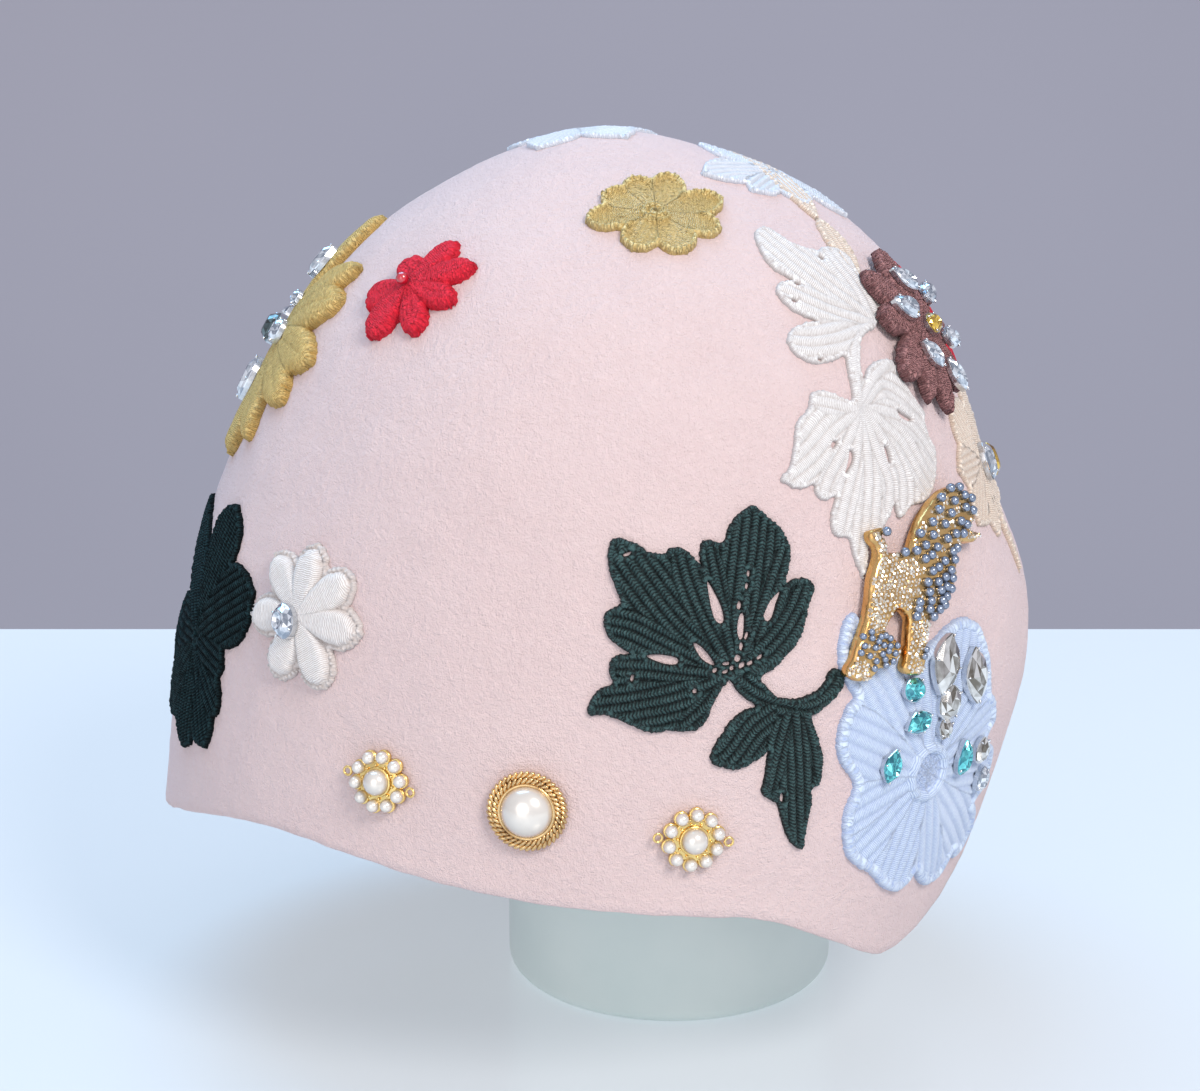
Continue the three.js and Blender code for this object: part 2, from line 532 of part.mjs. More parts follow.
// A closed form through rings of corners, each ring turning left as seen from the last one.
function loft(rings) {
  const sides = rings[0].length;
  const faces = [];
  for (let r = 0; r + 1 < rings.length; r += 1) {
    for (let s = 0; s < sides; s += 1) {
      const a = r * sides + s;
      const b = r * sides + ((s + 1) % sides);
      faces.push(a, b, a + sides, b, b + sides, a + sides);
    }
  }
  const last = (rings.length - 1) * sides;
  for (let s = 1; s + 1 < sides; s += 1) faces.push(0, s + 1, s, last, last + s, last + s + 1);
  return faceted(rings.flat(), faces);
}

// Splits every edge that is too straight, on both of its faces, so the form stays closed.
function refined(geometry, tooStraight) {
  const place = geometry.attributes.position;
  const points = Array.from({ length: place.count }, (_, i) => new THREE.Vector3()
    .fromBufferAttribute(place, i));
  let faces = Array.from(geometry.index.array);
  for (let pass = 0; pass < 5; pass += 1) {
    const middles = new Map();
    const middle = (a, b) => {
      const key = `${Math.min(a, b)},${Math.max(a, b)}`;
      if (!middles.has(key)) {
        const half = points[a].clone().lerp(points[b], 0.5);
        middles.set(key, tooStraight(points[a], points[b], half) ? points.push(half) - 1 : -1);
      }
      return middles.get(key);
    };
    const next = [];
    for (let i = 0; i < faces.length; i += 3) {
      let [a, b, c] = faces.slice(i, i + 3);
      let cuts = [middle(a, b), middle(b, c), middle(c, a)];
      const made = cuts.filter((cut) => cut >= 0).length;
      while (made && made < 3 && (cuts[0] < 0 || (made === 2 && cuts[1] < 0))) {
        [a, b, c] = [b, c, a];
        cuts = [cuts[1], cuts[2], cuts[0]];
      }
      const [ab, bc, ca] = cuts;
      if (made === 0) next.push(a, b, c);
      if (made === 1) next.push(a, ab, c, ab, b, c);
      if (made === 2) next.push(a, ab, bc, a, bc, c, ab, b, bc);
      if (made === 3) next.push(a, ab, ca, ab, b, bc, ca, bc, c, ab, bc, ca);
    }
    if (next.length === faces.length) break;
    faces = next;
  }
  return { points, faces };
}

// Lays a flat form on the skin: its x and y are walked over the felt and its z stands off it.
function laidOn(frame, solid, lift) {
  const known = new Map();
  const onSkin = (flat) => {
    if (!known.has(flat)) {
      const spot = walk(frame, flat.x, flat.y);
      known.set(flat, spot.point.addScaledVector(spot.normal, lift + flat.z));
    }
    return known.get(flat);
  };
  const tooStraight = (a, b, half) => onSkin(a).clone().lerp(onSkin(b), 0.5)
    .distanceTo(onSkin(half)) > trimSag;
  const { points, faces } = refined(merged(geometryOf(solid)), tooStraight);
  return faceted(points.map(onSkin), faces);
}

// Lobes and petals
const fullness = (share, belly) => Math.max(0.16, Math.sin(Math.PI * share ** belly) ** 0.7);
const lobeShares = Array.from({ length: lobeSteps + 1 },
  (_, i) => (1 - Math.cos((Math.PI * i) / lobeSteps)) / 2);

function lobeSpine({ x, y, aim, length, width, belly }, size, grow) {
  const way = new THREE.Vector2(Math.cos(degToRad(aim)), Math.sin(degToRad(aim)));
  const aside = new THREE.Vector2(-way.y, way.x);
  const root = new THREE.Vector2(x, y).multiplyScalar(size).addScaledVector(way, -grow);
  const run = length * size + 2 * grow;
  return lobeShares.map((share) => ({
    middle: root.clone().addScaledVector(way, share * run),
    half: (width * size / 2) * fullness(share, belly) + grow,
    full: fullness(share, belly),
    aside,
  }));
}

// A flat lobe of lace.
function laceLobe(lobe, size, thickness, grow = 0) {
  const spine = lobeSpine(lobe, size, grow);
  const rightSide = spine.map((s) => s.middle.clone().addScaledVector(s.aside, -s.half));
  const leftSide = spine.map((s) => s.middle.clone().addScaledVector(s.aside, s.half)).reverse();
  const shape = new THREE.Shape([...rightSide, ...leftSide]);
  return new THREE.ExtrudeGeometry(shape, { depth: thickness, bevelEnabled: false });
}

// A padded petal: upright edges and a ridge along its middle.
function paddedLobe(lobe, size, edge, crown) {
  return loft(lobeSpine(lobe, size, 0).map(({ middle, half, full, aside }) => {
    const corner = (side, height) => new THREE.Vector3(middle.x + aside.x * side * half,
      middle.y + aside.y * side * half, height);
    return [corner(-1, 0), corner(1, 0), corner(1, edge), corner(0, edge + (crown - edge) * full),
      corner(-1, edge)];
  }));
}

// A flat strap of even width along a smooth line.
function strap(line, size, width, thickness, grow = 0) {
  const curve = new THREE.SplineCurve(line.map(({ x, y }) => new THREE.Vector2(x, y)
    .multiplyScalar(size)));
  const half = (width * size) / 2 + grow;
  const sides = [[], []];
  const steps = 6;
  for (let i = 0; i <= steps; i += 1) {
    const middle = curve.getPoint(i / steps);
    const way = curve.getTangent(i / steps);
    sides[0].push(new THREE.Vector2(middle.x + way.y * half, middle.y - way.x * half));
    sides[1].push(new THREE.Vector2(middle.x - way.y * half, middle.y + way.x * half));
  }
  const shape = new THREE.Shape([...sides[0], ...sides[1].reverse()]);
  return new THREE.ExtrudeGeometry(shape, { depth: thickness, bevelEnabled: false });
}

const laceLobes = (lobes, size, thickness, grow) => lobes.map(
  (lobe) => laceLobe(lobe, size, thickness, grow));
const paddedLobes = (lobes, size, edge, crown) => joined(lobes.map(
  (lobe) => paddedLobe(lobe, size, edge, crown)));

// Materials
const finish = (color, roughness, metalness = 0) => new THREE.MeshStandardMaterial(
  { color, roughness, metalness });
const looks = {
  felt: () => finish('#e3cdcd', 0.95),
  stand: () => finish('#a9b8b1', 0.7),
  greenThread: () => finish('#152c27', 0.8),
  whiteThread: () => finish('#ece8e4', 0.75),
  mustardThread: () => finish('#c0983a', 0.7),
  redThread: () => finish('#cf1f33', 0.75),
  goldThread: () => finish('#c8a347', 0.5, 0.4),
  silverThread: () => finish('#d5d9e2', 0.5, 0.2),
  ivoryThread: () => finish('#f1e6e2', 0.75),
  brownThread: () => finish('#5a3a3a', 0.8),
  beigeThread: () => finish('#dac1a4', 0.8),
  blueThread: () => finish('#b8c5e4', 0.75),
  gilt: () => finish('#b98d3e', 0.35, 1),
  pearl: () => finish('#efe7de', 0.25),
  crystal: () => finish('#dde5ea', 0.05),
  deepStone: () => finish('#2b4a55', 0.05),
  turquoise: () => finish('#2fb0b5', 0.05),
  smoke: () => finish('#8e8a84', 0.05),
  amber: () => finish('#c88a14', 0.05),
};

const hat = new THREE.Group();
function piece(name, geometry, look) {
  const mesh = new THREE.Mesh(merged(geometry), looks[look]());
  mesh.name = name;
  hat.add(mesh);
  return mesh;
}

// Sets a rigid piece on the skin, its own +Z along the normal.
function seated(mesh, spot, lift, turn = 0) {
  const basis = new THREE.Matrix4().makeBasis(spot.across, spot.along, spot.normal);
  mesh.quaternion.setFromRotationMatrix(basis);
  mesh.rotateZ(degToRad(turn));
  mesh.position.copy(spot.point).addScaledVector(spot.normal, lift);
}

// Sets a rigid piece down on a trim: as low as it goes without touching, and then the gap higher.
function settled(mesh, spot, carrier, turn = 0) {
  let low = 0;
  let high = onLace + padCrown + pieceGap;
  for (let halving = 0; halving < 10; halving += 1) {
    const middle = (low + high) / 2;
    seated(mesh, spot, middle, turn);
    mesh.updateMatrixWorld();
    const form = solidOf(mesh.geometry.clone().applyMatrix4(mesh.matrixWorld));
    if (form.intersect(carrier).volume() === 0) high = middle;
    else low = middle;
  }
  seated(mesh, spot, high + pieceGap, turn);
}

// The felt body: an outer and an inner skin that meet at the cut edge.
function feltBody() {
  const azimuths = Array.from({ length: feltAround }, (_, i) => (i / feltAround) * fullTurn - Math.PI);
  const rimAzimuths = rimLine.map((row) => row.azimuth);
  const rimRises = rimLine.map((row) => row.rise);
  const rimRow = (azimuth) => rowWhere((row) => section('rise', row),
    curveThrough(rimAzimuths, rimRises, THREE.MathUtils.radToDeg(azimuth)));
  const ring = (share, inset) => azimuths.map((azimuth) => {
    const point = skinPoint(azimuth, THREE.MathUtils.lerp(rimRow(azimuth), topRow, share));
    return inset ? point.addScaledVector(skinNormal(point), -inset) : point;
  });
  const rows = [];
  for (let i = feltRowsInside - 1; i >= 0; i -= 1) rows.push(ring(i / feltRowsInside, feltThickness));
  for (let i = 0; i < feltRowsOutside; i += 1) rows.push(ring(i / feltRowsOutside, 0));
  const points = rows.flat();
  const faces = [];
  for (let r = 0; r + 1 < rows.length; r += 1) {
    for (let s = 0; s < feltAround; s += 1) {
      const a = r * feltAround + s;
      const b = r * feltAround + ((s + 1) % feltAround);
      faces.push(a, b, a + feltAround, b, b + feltAround, a + feltAround);
    }
  }
  const crown = skinPoint(0, topRow);
  const crownInside = points.push(crown.clone().setZ(crown.z - feltThickness)) - 1;
  const crownOutside = points.push(crown) - 1;
  const lastRow = (rows.length - 1) * feltAround;
  for (let s = 0; s < feltAround; s += 1) {
    const next = (s + 1) % feltAround;
    faces.push(next, s, crownInside, lastRow + s, lastRow + next, crownOutside);
  }
  return faceted(points, faces);
}

// The stand: a straight wall under an oval dome. grow widens and raises it all over.
function standForm(shoulder, grow) {
  const radius = standRadius + grow;
  const dome = standDomeHeight + grow;
  const profile = [new THREE.Vector2(0, 0), new THREE.Vector2(radius - standFootRadius, 0)];
  const footSteps = 2;
  for (let i = 1; i <= footSteps; i += 1) {
    const angle = (i / footSteps) * (Math.PI / 2);
    profile.push(new THREE.Vector2(radius - standFootRadius * (1 - Math.sin(angle)),
      standFootRadius * (1 - Math.cos(angle))));
  }
  const domeSteps = 5;
  for (let i = 0; i <= domeSteps; i += 1) {
    const angle = (i / domeSteps) * (Math.PI / 2);
    profile.push(new THREE.Vector2(i === domeSteps ? 0 : radius * Math.cos(angle),
      shoulder + dome * Math.sin(angle)));
  }
  return new THREE.LatheGeometry(profile, standAround).rotateX(Math.PI / 2);
}

// The stand is as tall as lets the crown of the felt rest on its dome, with the gap between them.
function standUnder(felt) {
  let low = standFootRadius;
  let high = rimClearance + hatHeight;
  for (let halving = 0; halving < 16; halving += 1) {
    const middle = (low + high) / 2;
    if (solidOf(standForm(middle, pieceGap)).intersect(felt).volume() === 0) low = middle;
    else high = middle;
  }
  return standForm(low, 0);
}

// Cut stones: a flat foot, a girdle and a table, with the facets between them. The stone's setting
// is its foot.
const stoneOutlines = {
  oval: { sides: 8, narrow: () => 1 },
  navette: { sides: 8, narrow: (t) => Math.abs(Math.sin(t)) ** 0.45 },
  pear: { sides: 8, narrow: (t) => 1 - 0.4 * Math.cos(t) },
};
const stoneTable = 0.56;
const stoneFoot = 0.86;
const stoneGirdle = 0.42;

function cutStone({ outline, length, width, height }) {
  const { sides, narrow } = stoneOutlines[outline];
  const ring = (scale, z, shift) => Array.from({ length: sides }, (_, i) => {
    const t = ((i + shift) / sides) * fullTurn;
    const thin = Math.max(narrow(t), 0.05);
    return new THREE.Vector3((length / 2) * Math.cos(t) * scale,
      (width / 2) * Math.sin(t) * thin * scale, z);
  });
  return loft([ring(stoneFoot, 0, 0), ring(1, stoneGirdle * height, 0),
    ring(stoneTable, height, 0.5)]);
}

function stones(prefix, rows, frame, size, carrier) {
  rows.forEach((row, i) => {
    const mesh = piece(`${prefix}_${i + 1}`, cutStone(row), row.look);
    settled(mesh, walk(frame, row.x * size, row.y * size), carrier, row.turn);
  });
}

// Turned and wound metal
const turned = (corners, around) => new THREE.LatheGeometry(
  corners.map(([r, z]) => new THREE.Vector2(r, z)), around).rotateX(Math.PI / 2);

// A ring of two wires twisted together: its section is an oval that turns as it goes round.
function ropeRing(radius, thickness, height, twists, steps) {
  const sides = 5;
  const ring = new THREE.TorusGeometry(radius, thickness, sides, steps);
  const place = ring.attributes.position;
  for (let i = 0; i < place.count; i += 1) {
    const around = Math.atan2(place.getY(i), place.getX(i));
    const out = Math.hypot(place.getX(i), place.getY(i)) - radius;
    const turn = Math.atan2(place.getZ(i), out);
    const swell = 1 + ropeFlattening * Math.cos(2 * turn - twists * around);
    const reach = radius + out * swell;
    place.setXYZ(i, reach * Math.cos(around), reach * Math.sin(around),
      height + place.getZ(i) * swell);
  }
  return ring;
}

function buttonSetting() {
  const outerRing = buttonRadius - ropeThickness * (1 + ropeFlattening);
  const innerRing = outerRing - 2.02 * ropeThickness * (1 + ropeFlattening);
  const plate = turned([[0, 0], [outerRing, 0], [outerRing, buttonPlate], [0, buttonPlate]], 15);
  return geometryOf(joined([plate,
    ropeRing(outerRing, ropeThickness, buttonPlate, 9, 30),
    ropeRing(innerRing, ropeThickness, buttonPlate + 0.3 * ropeThickness, 7, 23)]));
}

// A pearl with a flat back, as a low dome.
function halfPearl(radius, around) {
  const rings = 3;
  const corners = [[0, 0]];
  const girth = 0.25;
  for (let i = 0; i <= rings; i += 1) {
    const angle = (i / rings) * (Math.PI / 2);
    corners.push([i === rings ? 0 : radius * Math.cos(angle), radius * (girth + Math.sin(angle)) * 0.8]);
  }
  corners.splice(1, 0, [radius * 0.92, 0]);
  return turned(corners, around);
}

// A small round pearl sunk a little into its plate.
const beadOnPlate = (radius) => turned([[0, 0], [radius, 0.7 * radius], [0.64 * radius, 1.6 * radius],
  [0, 1.9 * radius]], 10);

// A gilt flower of small pearls with a sewing loop on each side.
function pearlCluster() {
  const plateRadius = clusterRadius + 0.8 * clusterPearlRadius;
  const plate = turned([[0, 0], [plateRadius, 0], [plateRadius, clusterPlate], [0, clusterPlate]], 20);
  const parts = [plate];
  for (let i = 0; i < clusterPearls; i += 1) {
    const angle = (i / clusterPearls) * fullTurn;
    parts.push(beadOnPlate(clusterPearlRadius).translate(clusterRadius * Math.cos(angle),
      clusterRadius * Math.sin(angle), clusterPlate - 0.3 * clusterPearlRadius));
  }
  for (const side of [-1, 1]) {
    parts.push(new THREE.TorusGeometry(clusterLoopRadius, clusterLoopWire, 4, 8).translate(
      side * (plateRadius + 0.8 * clusterLoopRadius), 0, clusterPlate / 2));
  }
  return geometryOf(joined(parts));
}

// The dog, standing side on, with its raised fields.
function broochBody() {
  const limbs = broochLimbs.map(({ from, to, wide, padded }) => {
    const steps = 2;
    const start = new THREE.Vector2(...from).multiplyScalar(broochSize);
    const end = new THREE.Vector2(...to).multiplyScalar(broochSize);
    const way = Math.atan2(end.y - start.y, end.x - start.x);
    const half = (wide * broochSize) / 2;
    const outline = [];
    for (const [middle, turn] of [[start, Math.PI / 2], [end, -Math.PI / 2]]) {
      for (let i = 0; i <= steps; i += 1) {
        const angle = way + turn + (i / steps) * Math.PI;
        outline.push(new THREE.Vector2(middle.x + half * Math.cos(angle),
          middle.y + half * Math.sin(angle)));
      }
    }
    return new THREE.ExtrudeGeometry(new THREE.Shape(outline),
      { depth: padded ? broochPad : broochPlate, bevelEnabled: false });
  });
  return joined(limbs);
}

// Building the trims, from the felt outwards
const frames = Object.fromEntries(Object.entries(places).map(([name, place]) => [name, frameAt(place)]));

// A tall, slightly wider copy of a trim, which trims stitched beside it are cut back by.
function roomFor(frame, lobes, size, lines = []) {
  const tall = 3 * laceThickness;
  const shapes = [...laceLobes(lobes, size, tall, trimGap),
    ...lines.map(({ line, width }) => strap(line, size, width, tall, trimGap))];
  return solidOf(laidOn(frame, joined(shapes), -laceThickness / 2));
}

piece('hat_shell', feltBody(), 'felt');
piece('stand', standUnder(solidOf(feltBody())), 'stand');

const daisyRoom = roomFor(frames.daisy, daisyPetals, daisySize);
const mustardRoom = roomFor(frames.mustard, mustardPetals, mustardSize);
const sprayRoom = roomFor(frames.greenSpray, greenSprayLobes, greenSpraySize,
  [{ line: greenStem, width: greenStemWidth }]);
const ivoryRoom = roomFor(frames.ivorySpray, ivoryLobes, ivorySpraySize,
  [{ line: ivoryStem, width: ivoryStemWidth }]);
const redPatchRoom = roomFor(frames.redPatch, redPatchLobes, redPatchSize);
const silverRoom = roomFor(frames.silverLeaf, silverLobes, silverLeafSize);
const stripRoom = roomFor(frames.beigeStrip, beigeStripLobes, beigeLeafSize);

function laceTrim(name, frame, lobes, size, look, lines = [], rooms = []) {
  const shapes = [...laceLobes(lobes, size, laceThickness),
    ...lines.map(({ line, width }) => strap(line, size, width, laceThickness))];
  const laid = solidOf(laidOn(frame, joined(shapes), onFelt));
  const trimmed = rooms.reduce((left, room) => left.subtract(room), laid);
  const whole = trimmed.decompose().sort((a, b) => b.volume() - a.volume())[0];
  piece(name, geometryOf(whole), look);
  return whole;
}

function paddedTrim(name, frame, petals, size, look, lift = onFelt) {
  const laid = laidOn(frame, paddedLobes(petals, size, padEdge, padCrown), lift);
  piece(name, laid, look);
  return solidOf(laid);
}

laceTrim('green_leaf_spray', frames.greenSpray, greenSprayLobes, greenSpraySize, 'greenThread',
  [{ line: greenStem, width: greenStemWidth }]);
laceTrim('green_leaf_left', frames.greenLeaf, greenLeafLobes, greenLeafSize, 'greenThread', [],
  [daisyRoom, mustardRoom]);
const daisy = paddedTrim('white_daisy', frames.daisy, daisyPetals, daisySize, 'whiteThread');
const mustardFlower = paddedTrim('mustard_flower', frames.mustard, mustardPetals, mustardSize, 'mustardThread');
const redFlower = paddedTrim('red_flower', frames.redFlower, redPetals, redFlowerSize, 'redThread');
paddedTrim('gold_flower', frames.goldFlower, goldPetals, goldFlowerSize, 'goldThread');
laceTrim('silver_leaf', frames.silverLeaf, silverLobes, silverLeafSize, 'silverThread');
laceTrim('white_crown_motif', frames.crownMotif, crownLobes, crownMotifSize, 'silverThread', [],
  [silverRoom]);
laceTrim('ivory_leaf_spray', frames.ivorySpray, ivoryLobes, ivorySpraySize, 'ivoryThread',
  [{ line: ivoryStem, width: ivoryStemWidth }]);
laceTrim('red_patch', frames.redPatch, redPatchLobes, redPatchSize, 'redThread');
const beigeLeaf = laceTrim('beige_leaf', frames.beigeLeaf, beigeLobes, beigeLeafSize, 'beigeThread', [],
  [ivoryRoom, redPatchRoom, stripRoom]);
laceTrim('beige_strip', frames.beigeStrip, beigeStripLobes, beigeLeafSize, 'beigeThread', [],
  [ivoryRoom, redPatchRoom, silverRoom]);
const brownFlower = paddedTrim('brown_flower', frames.brownFlower, brownPetals, brownFlowerSize, 'brownThread', onLace);

// The pale blue flower carries a raised ring round its net middle.
const blueRing = new THREE.TorusGeometry(blueRingRadius, blueRingThickness, 4, 14)
  .translate(0, 0, laceThickness);
const blueSolid = joined([...laceLobes(blueLobes, blueFlowerSize, laceThickness), blueRing]);
const blueFlower = solidOf(laidOn(frames.blueFlower, blueSolid, onFelt))
  .subtract(sprayRoom).subtract(ivoryRoom);
piece('pale_blue_flower', geometryOf(blueFlower), 'blueThread');

stones('mustard_stone', mustardStones, frames.mustard, mustardSize, mustardFlower);
stones('brown_stone', brownStones, frames.brownFlower, brownFlowerSize, brownFlower);
stones('beige_stone', beigeStones, frames.beigeLeaf, beigeLeafSize, beigeLeaf);
stones('blue_stone', blueStones, frames.blueFlower, blueFlowerSize, blueFlower);
stones('daisy_stone', [daisyStone], frames.daisy, daisySize, daisy);

const redBead = piece('red_bead', new THREE.SphereGeometry(redBeadRadius, 10, 6)
  .rotateX(Math.PI / 2).translate(0, 0, redBeadRadius), 'redThread');
settled(redBead, frames.redFlower, redFlower);
piece('dog_brooch', laidOn(frames.brooch, broochBody(), onLace), 'gilt');

for (const [side, name] of [['clusterLeft', 'pearl_cluster_left'],
  ['clusterRight', 'pearl_cluster_right']]) {
  seated(piece(name, pearlCluster(), 'gilt'), frames[side], pieceGap);
  seated(piece(`${name}_pearl`, halfPearl(clusterHeartRadius, 12), 'pearl'), frames[side],
    pieceGap + clusterPlate + pieceGap);
}
seated(piece('button_setting', buttonSetting(), 'gilt'), frames.button, pieceGap);
seated(piece('button_pearl', halfPearl(buttonPearlRadius, 16), 'pearl'), frames.button,
  pieceGap + buttonPlate + pieceGap);

export default hat;
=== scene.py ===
# %% [markdown]
# # An embroidered felt hat on a round stand
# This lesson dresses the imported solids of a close-fitting felt hat. The felt keeps its CAD form and is
# made smooth. Each stitched trim is drawn flat, in millimetres, as on the embroiderer's cloth, and is
# then laid on the felt. Stones, pearls and the brooch are set on the trims.

# %% Load the frame
import math
import bpy
import numpy as np
from mathutils import Matrix, Vector, kdtree
from mathutils.bvhtree import BVHTree
from mathutils.geometry import delaunay_2d_cdt


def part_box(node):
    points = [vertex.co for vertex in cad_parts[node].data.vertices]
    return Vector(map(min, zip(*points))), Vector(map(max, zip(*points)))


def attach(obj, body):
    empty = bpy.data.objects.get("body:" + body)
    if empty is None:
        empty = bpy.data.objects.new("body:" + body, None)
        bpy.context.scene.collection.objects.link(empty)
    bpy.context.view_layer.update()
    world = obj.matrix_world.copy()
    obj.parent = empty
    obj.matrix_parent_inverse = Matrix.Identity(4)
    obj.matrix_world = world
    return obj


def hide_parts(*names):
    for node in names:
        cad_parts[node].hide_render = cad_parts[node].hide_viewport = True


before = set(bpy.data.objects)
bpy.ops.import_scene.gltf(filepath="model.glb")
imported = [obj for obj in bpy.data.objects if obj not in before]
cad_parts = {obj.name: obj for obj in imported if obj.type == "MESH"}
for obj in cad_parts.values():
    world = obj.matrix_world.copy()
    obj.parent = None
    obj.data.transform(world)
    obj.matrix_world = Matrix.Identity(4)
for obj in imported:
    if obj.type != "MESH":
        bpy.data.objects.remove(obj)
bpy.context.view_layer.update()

MM = 0.001

# %% [markdown]
# ## The camera
# The picture was taken from about two thirds of a metre away and a little above. The camera is made
# first, because the outlines of some trims were read off the picture and are cast back through it.

# %% Camera
PHOTO_WIDTH, PHOTO_HEIGHT = 1200, 1091
FOCAL = 80.0
SENSOR = 36.0
EYE = Vector((-0.0184, -0.6552, 0.3018))
LOOK_DOWN = math.radians(16)

camera_data = bpy.data.cameras.new("photo_camera")
camera_data.lens = FOCAL
camera_data.sensor_width = SENSOR
camera = bpy.data.objects.new("photo_camera", camera_data)
camera.location = EYE
camera.rotation_euler = (math.pi / 2 - LOOK_DOWN, 0, 0)
bpy.context.scene.collection.objects.link(camera)
bpy.context.scene.camera = camera


def sight_line(x, y):
    """The direction in which the camera sees one pixel of the picture."""
    turned = Matrix.Rotation(math.pi / 2 - LOOK_DOWN, 3, "X")
    pixels = FOCAL / SENSOR * PHOTO_WIDTH
    line = Vector(((x - PHOTO_WIDTH / 2) / pixels, -(y - PHOTO_HEIGHT / 2) / pixels, -1))
    return (turned @ line).normalized()


print("camera looks along", [round(v, 3) for v in sight_line(PHOTO_WIDTH / 2, PHOTO_HEIGHT / 2)])

# %% [markdown]
# ## Small helpers
# Operators act on whatever is selected, so each step begins by selecting one object alone. Materials
# are made from a list of nodes, so that a finish reads like a recipe.

# %% Selecting, joining and riding
def select_nothing():
    bpy.ops.object.select_all(action="DESELECT")


def only(piece):
    """Selects one object alone and makes it active."""
    select_nothing()
    piece.select_set(True)
    bpy.context.view_layer.objects.active = piece
    return piece


def titled(piece, name):
    piece.name = piece.data.name = name
    return piece


def named(name):
    """The object that was just added, under its own name."""
    return titled(bpy.context.object, name)


def placed(name, data):
    """A new object in the scene."""
    piece = bpy.data.objects.new(name, data)
    bpy.context.scene.collection.objects.link(piece)
    return piece


def settle(piece):
    """Moves a piece's place into its mesh, so that its object sits at the origin."""
    only(piece)
    bpy.ops.object.transform_apply(location=True, rotation=True, scale=True)
    return piece


def edit_all(piece):
    """Opens a piece for editing, with all of it selected."""
    only(piece)
    bpy.ops.object.mode_set(mode="EDIT")
    bpy.ops.mesh.select_all(action="SELECT")


def joined(name, pieces):
    """One object from several."""
    select_nothing()
    for piece in pieces:
        piece.select_set(True)
    bpy.context.view_layer.objects.active = pieces[0]
    if len(pieces) > 1:
        bpy.ops.object.join()
    return named(name)


def smooth(piece, angle=40):
    only(piece)
    bpy.ops.object.shade_smooth_by_angle(angle=math.radians(angle))
    return piece


def count(piece):
    return sum(len(face.vertices) - 2 for face in piece.data.polygons)


def wear(piece, finish, slot, *nodes, body="root"):
    """Gives a piece its finish and its place on the hat. The slot is not used."""
    piece.data.materials.clear()
    for one in (finish if isinstance(finish, (list, tuple)) else [finish]):
        piece.data.materials.append(one)
    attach(piece, body)
    if nodes:
        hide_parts(*nodes)
    print(piece.name, count(piece), "triangles")
    return piece


# %% [markdown]
# ## Node recipes
# A material here is a Principled shader with colour, roughness and bump from noise and from lines that
# follow the stitches. Two effects are shared by many finishes, so each is a node group: the nap of
# felt or wool, and the rows of thread.

# %% Making node groups and materials
def new_group(name, inputs, outputs):
    group = bpy.data.node_groups.new(name, "ShaderNodeTree")
    for label, value in inputs:
        kind = "NodeSocketColor" if isinstance(value, tuple) else "NodeSocketFloat"
        socket = group.interface.new_socket(label, in_out="INPUT", socket_type=kind)
        socket.default_value = value
    for label, kind in outputs:
        group.interface.new_socket(label, in_out="OUTPUT", socket_type=kind)
    return group


def add(tree, kind, settings=None, **sockets):
    """Adds a node, sets its settings, and sets or links its named sockets."""
    node = tree.nodes.new(kind)
    for key, value in (settings or {}).items():
        setattr(node, key, value)
    for key, value in sockets.items():
        plug(tree, value, pick(node.inputs, key))
    return node


def pick(sockets, key):
    if key.startswith("i") and key[1:].isdigit():
        return sockets[int(key[1:])]
    return sockets[key.replace("_", " ")]


def plug(tree, value, socket):
    if isinstance(value, bpy.types.NodeSocket):
        tree.links.new(value, socket)
    elif isinstance(value, bpy.types.Node):
        tree.links.new(value.outputs[0], socket)
    else:
        socket.default_value = value


def colour(r, g, b):
    return (r, g, b, 1.0)


def math_node(tree, operation, a, b=0.0):
    return add(tree, "ShaderNodeMath", {"operation": operation}, i0=a, i1=b)


def blend(tree, factor, a, b, mode="MIX"):
    """Mixes two colours. Sockets 0, 6 and 7 of the Mix node are its factor and its two colours."""
    node = add(tree, "ShaderNodeMix", {"data_type": "RGBA", "blend_type": mode}, i0=factor, i6=a, i7=b)
    return node.outputs[2]


def spread(tree, value, low, high, to_low=0.0, to_high=1.0):
    return add(tree, "ShaderNodeMapRange", None, i0=value, i1=low, i2=high, i3=to_low, i4=to_high)


def noise(tree, **sockets):
    return add(tree, "ShaderNodeTexNoise", None, **sockets)


def new_material(name):
    """A material with its node tree, its Principled shader and its object coordinates."""
    material = bpy.data.materials.new(name)
    material.use_nodes = True
    tree = material.node_tree
    shader = tree.nodes["Principled BSDF"]
    place = tree.nodes.new("ShaderNodeTexCoord").outputs["Object"]
    return material, tree, shader, place


def constants(node, **values):
    """Sets named sockets of a node, with _ for a blank in a name."""
    for key, value in values.items():
        pick(node.inputs, key).default_value = value


def bump(tree, height, strength, distance, under=None):
    node = add(tree, "ShaderNodeBump", None, Strength=strength, Distance=distance, Height=height)
    if under is not None:
        tree.links.new(under, node.inputs["Normal"])
    return node.outputs["Normal"]


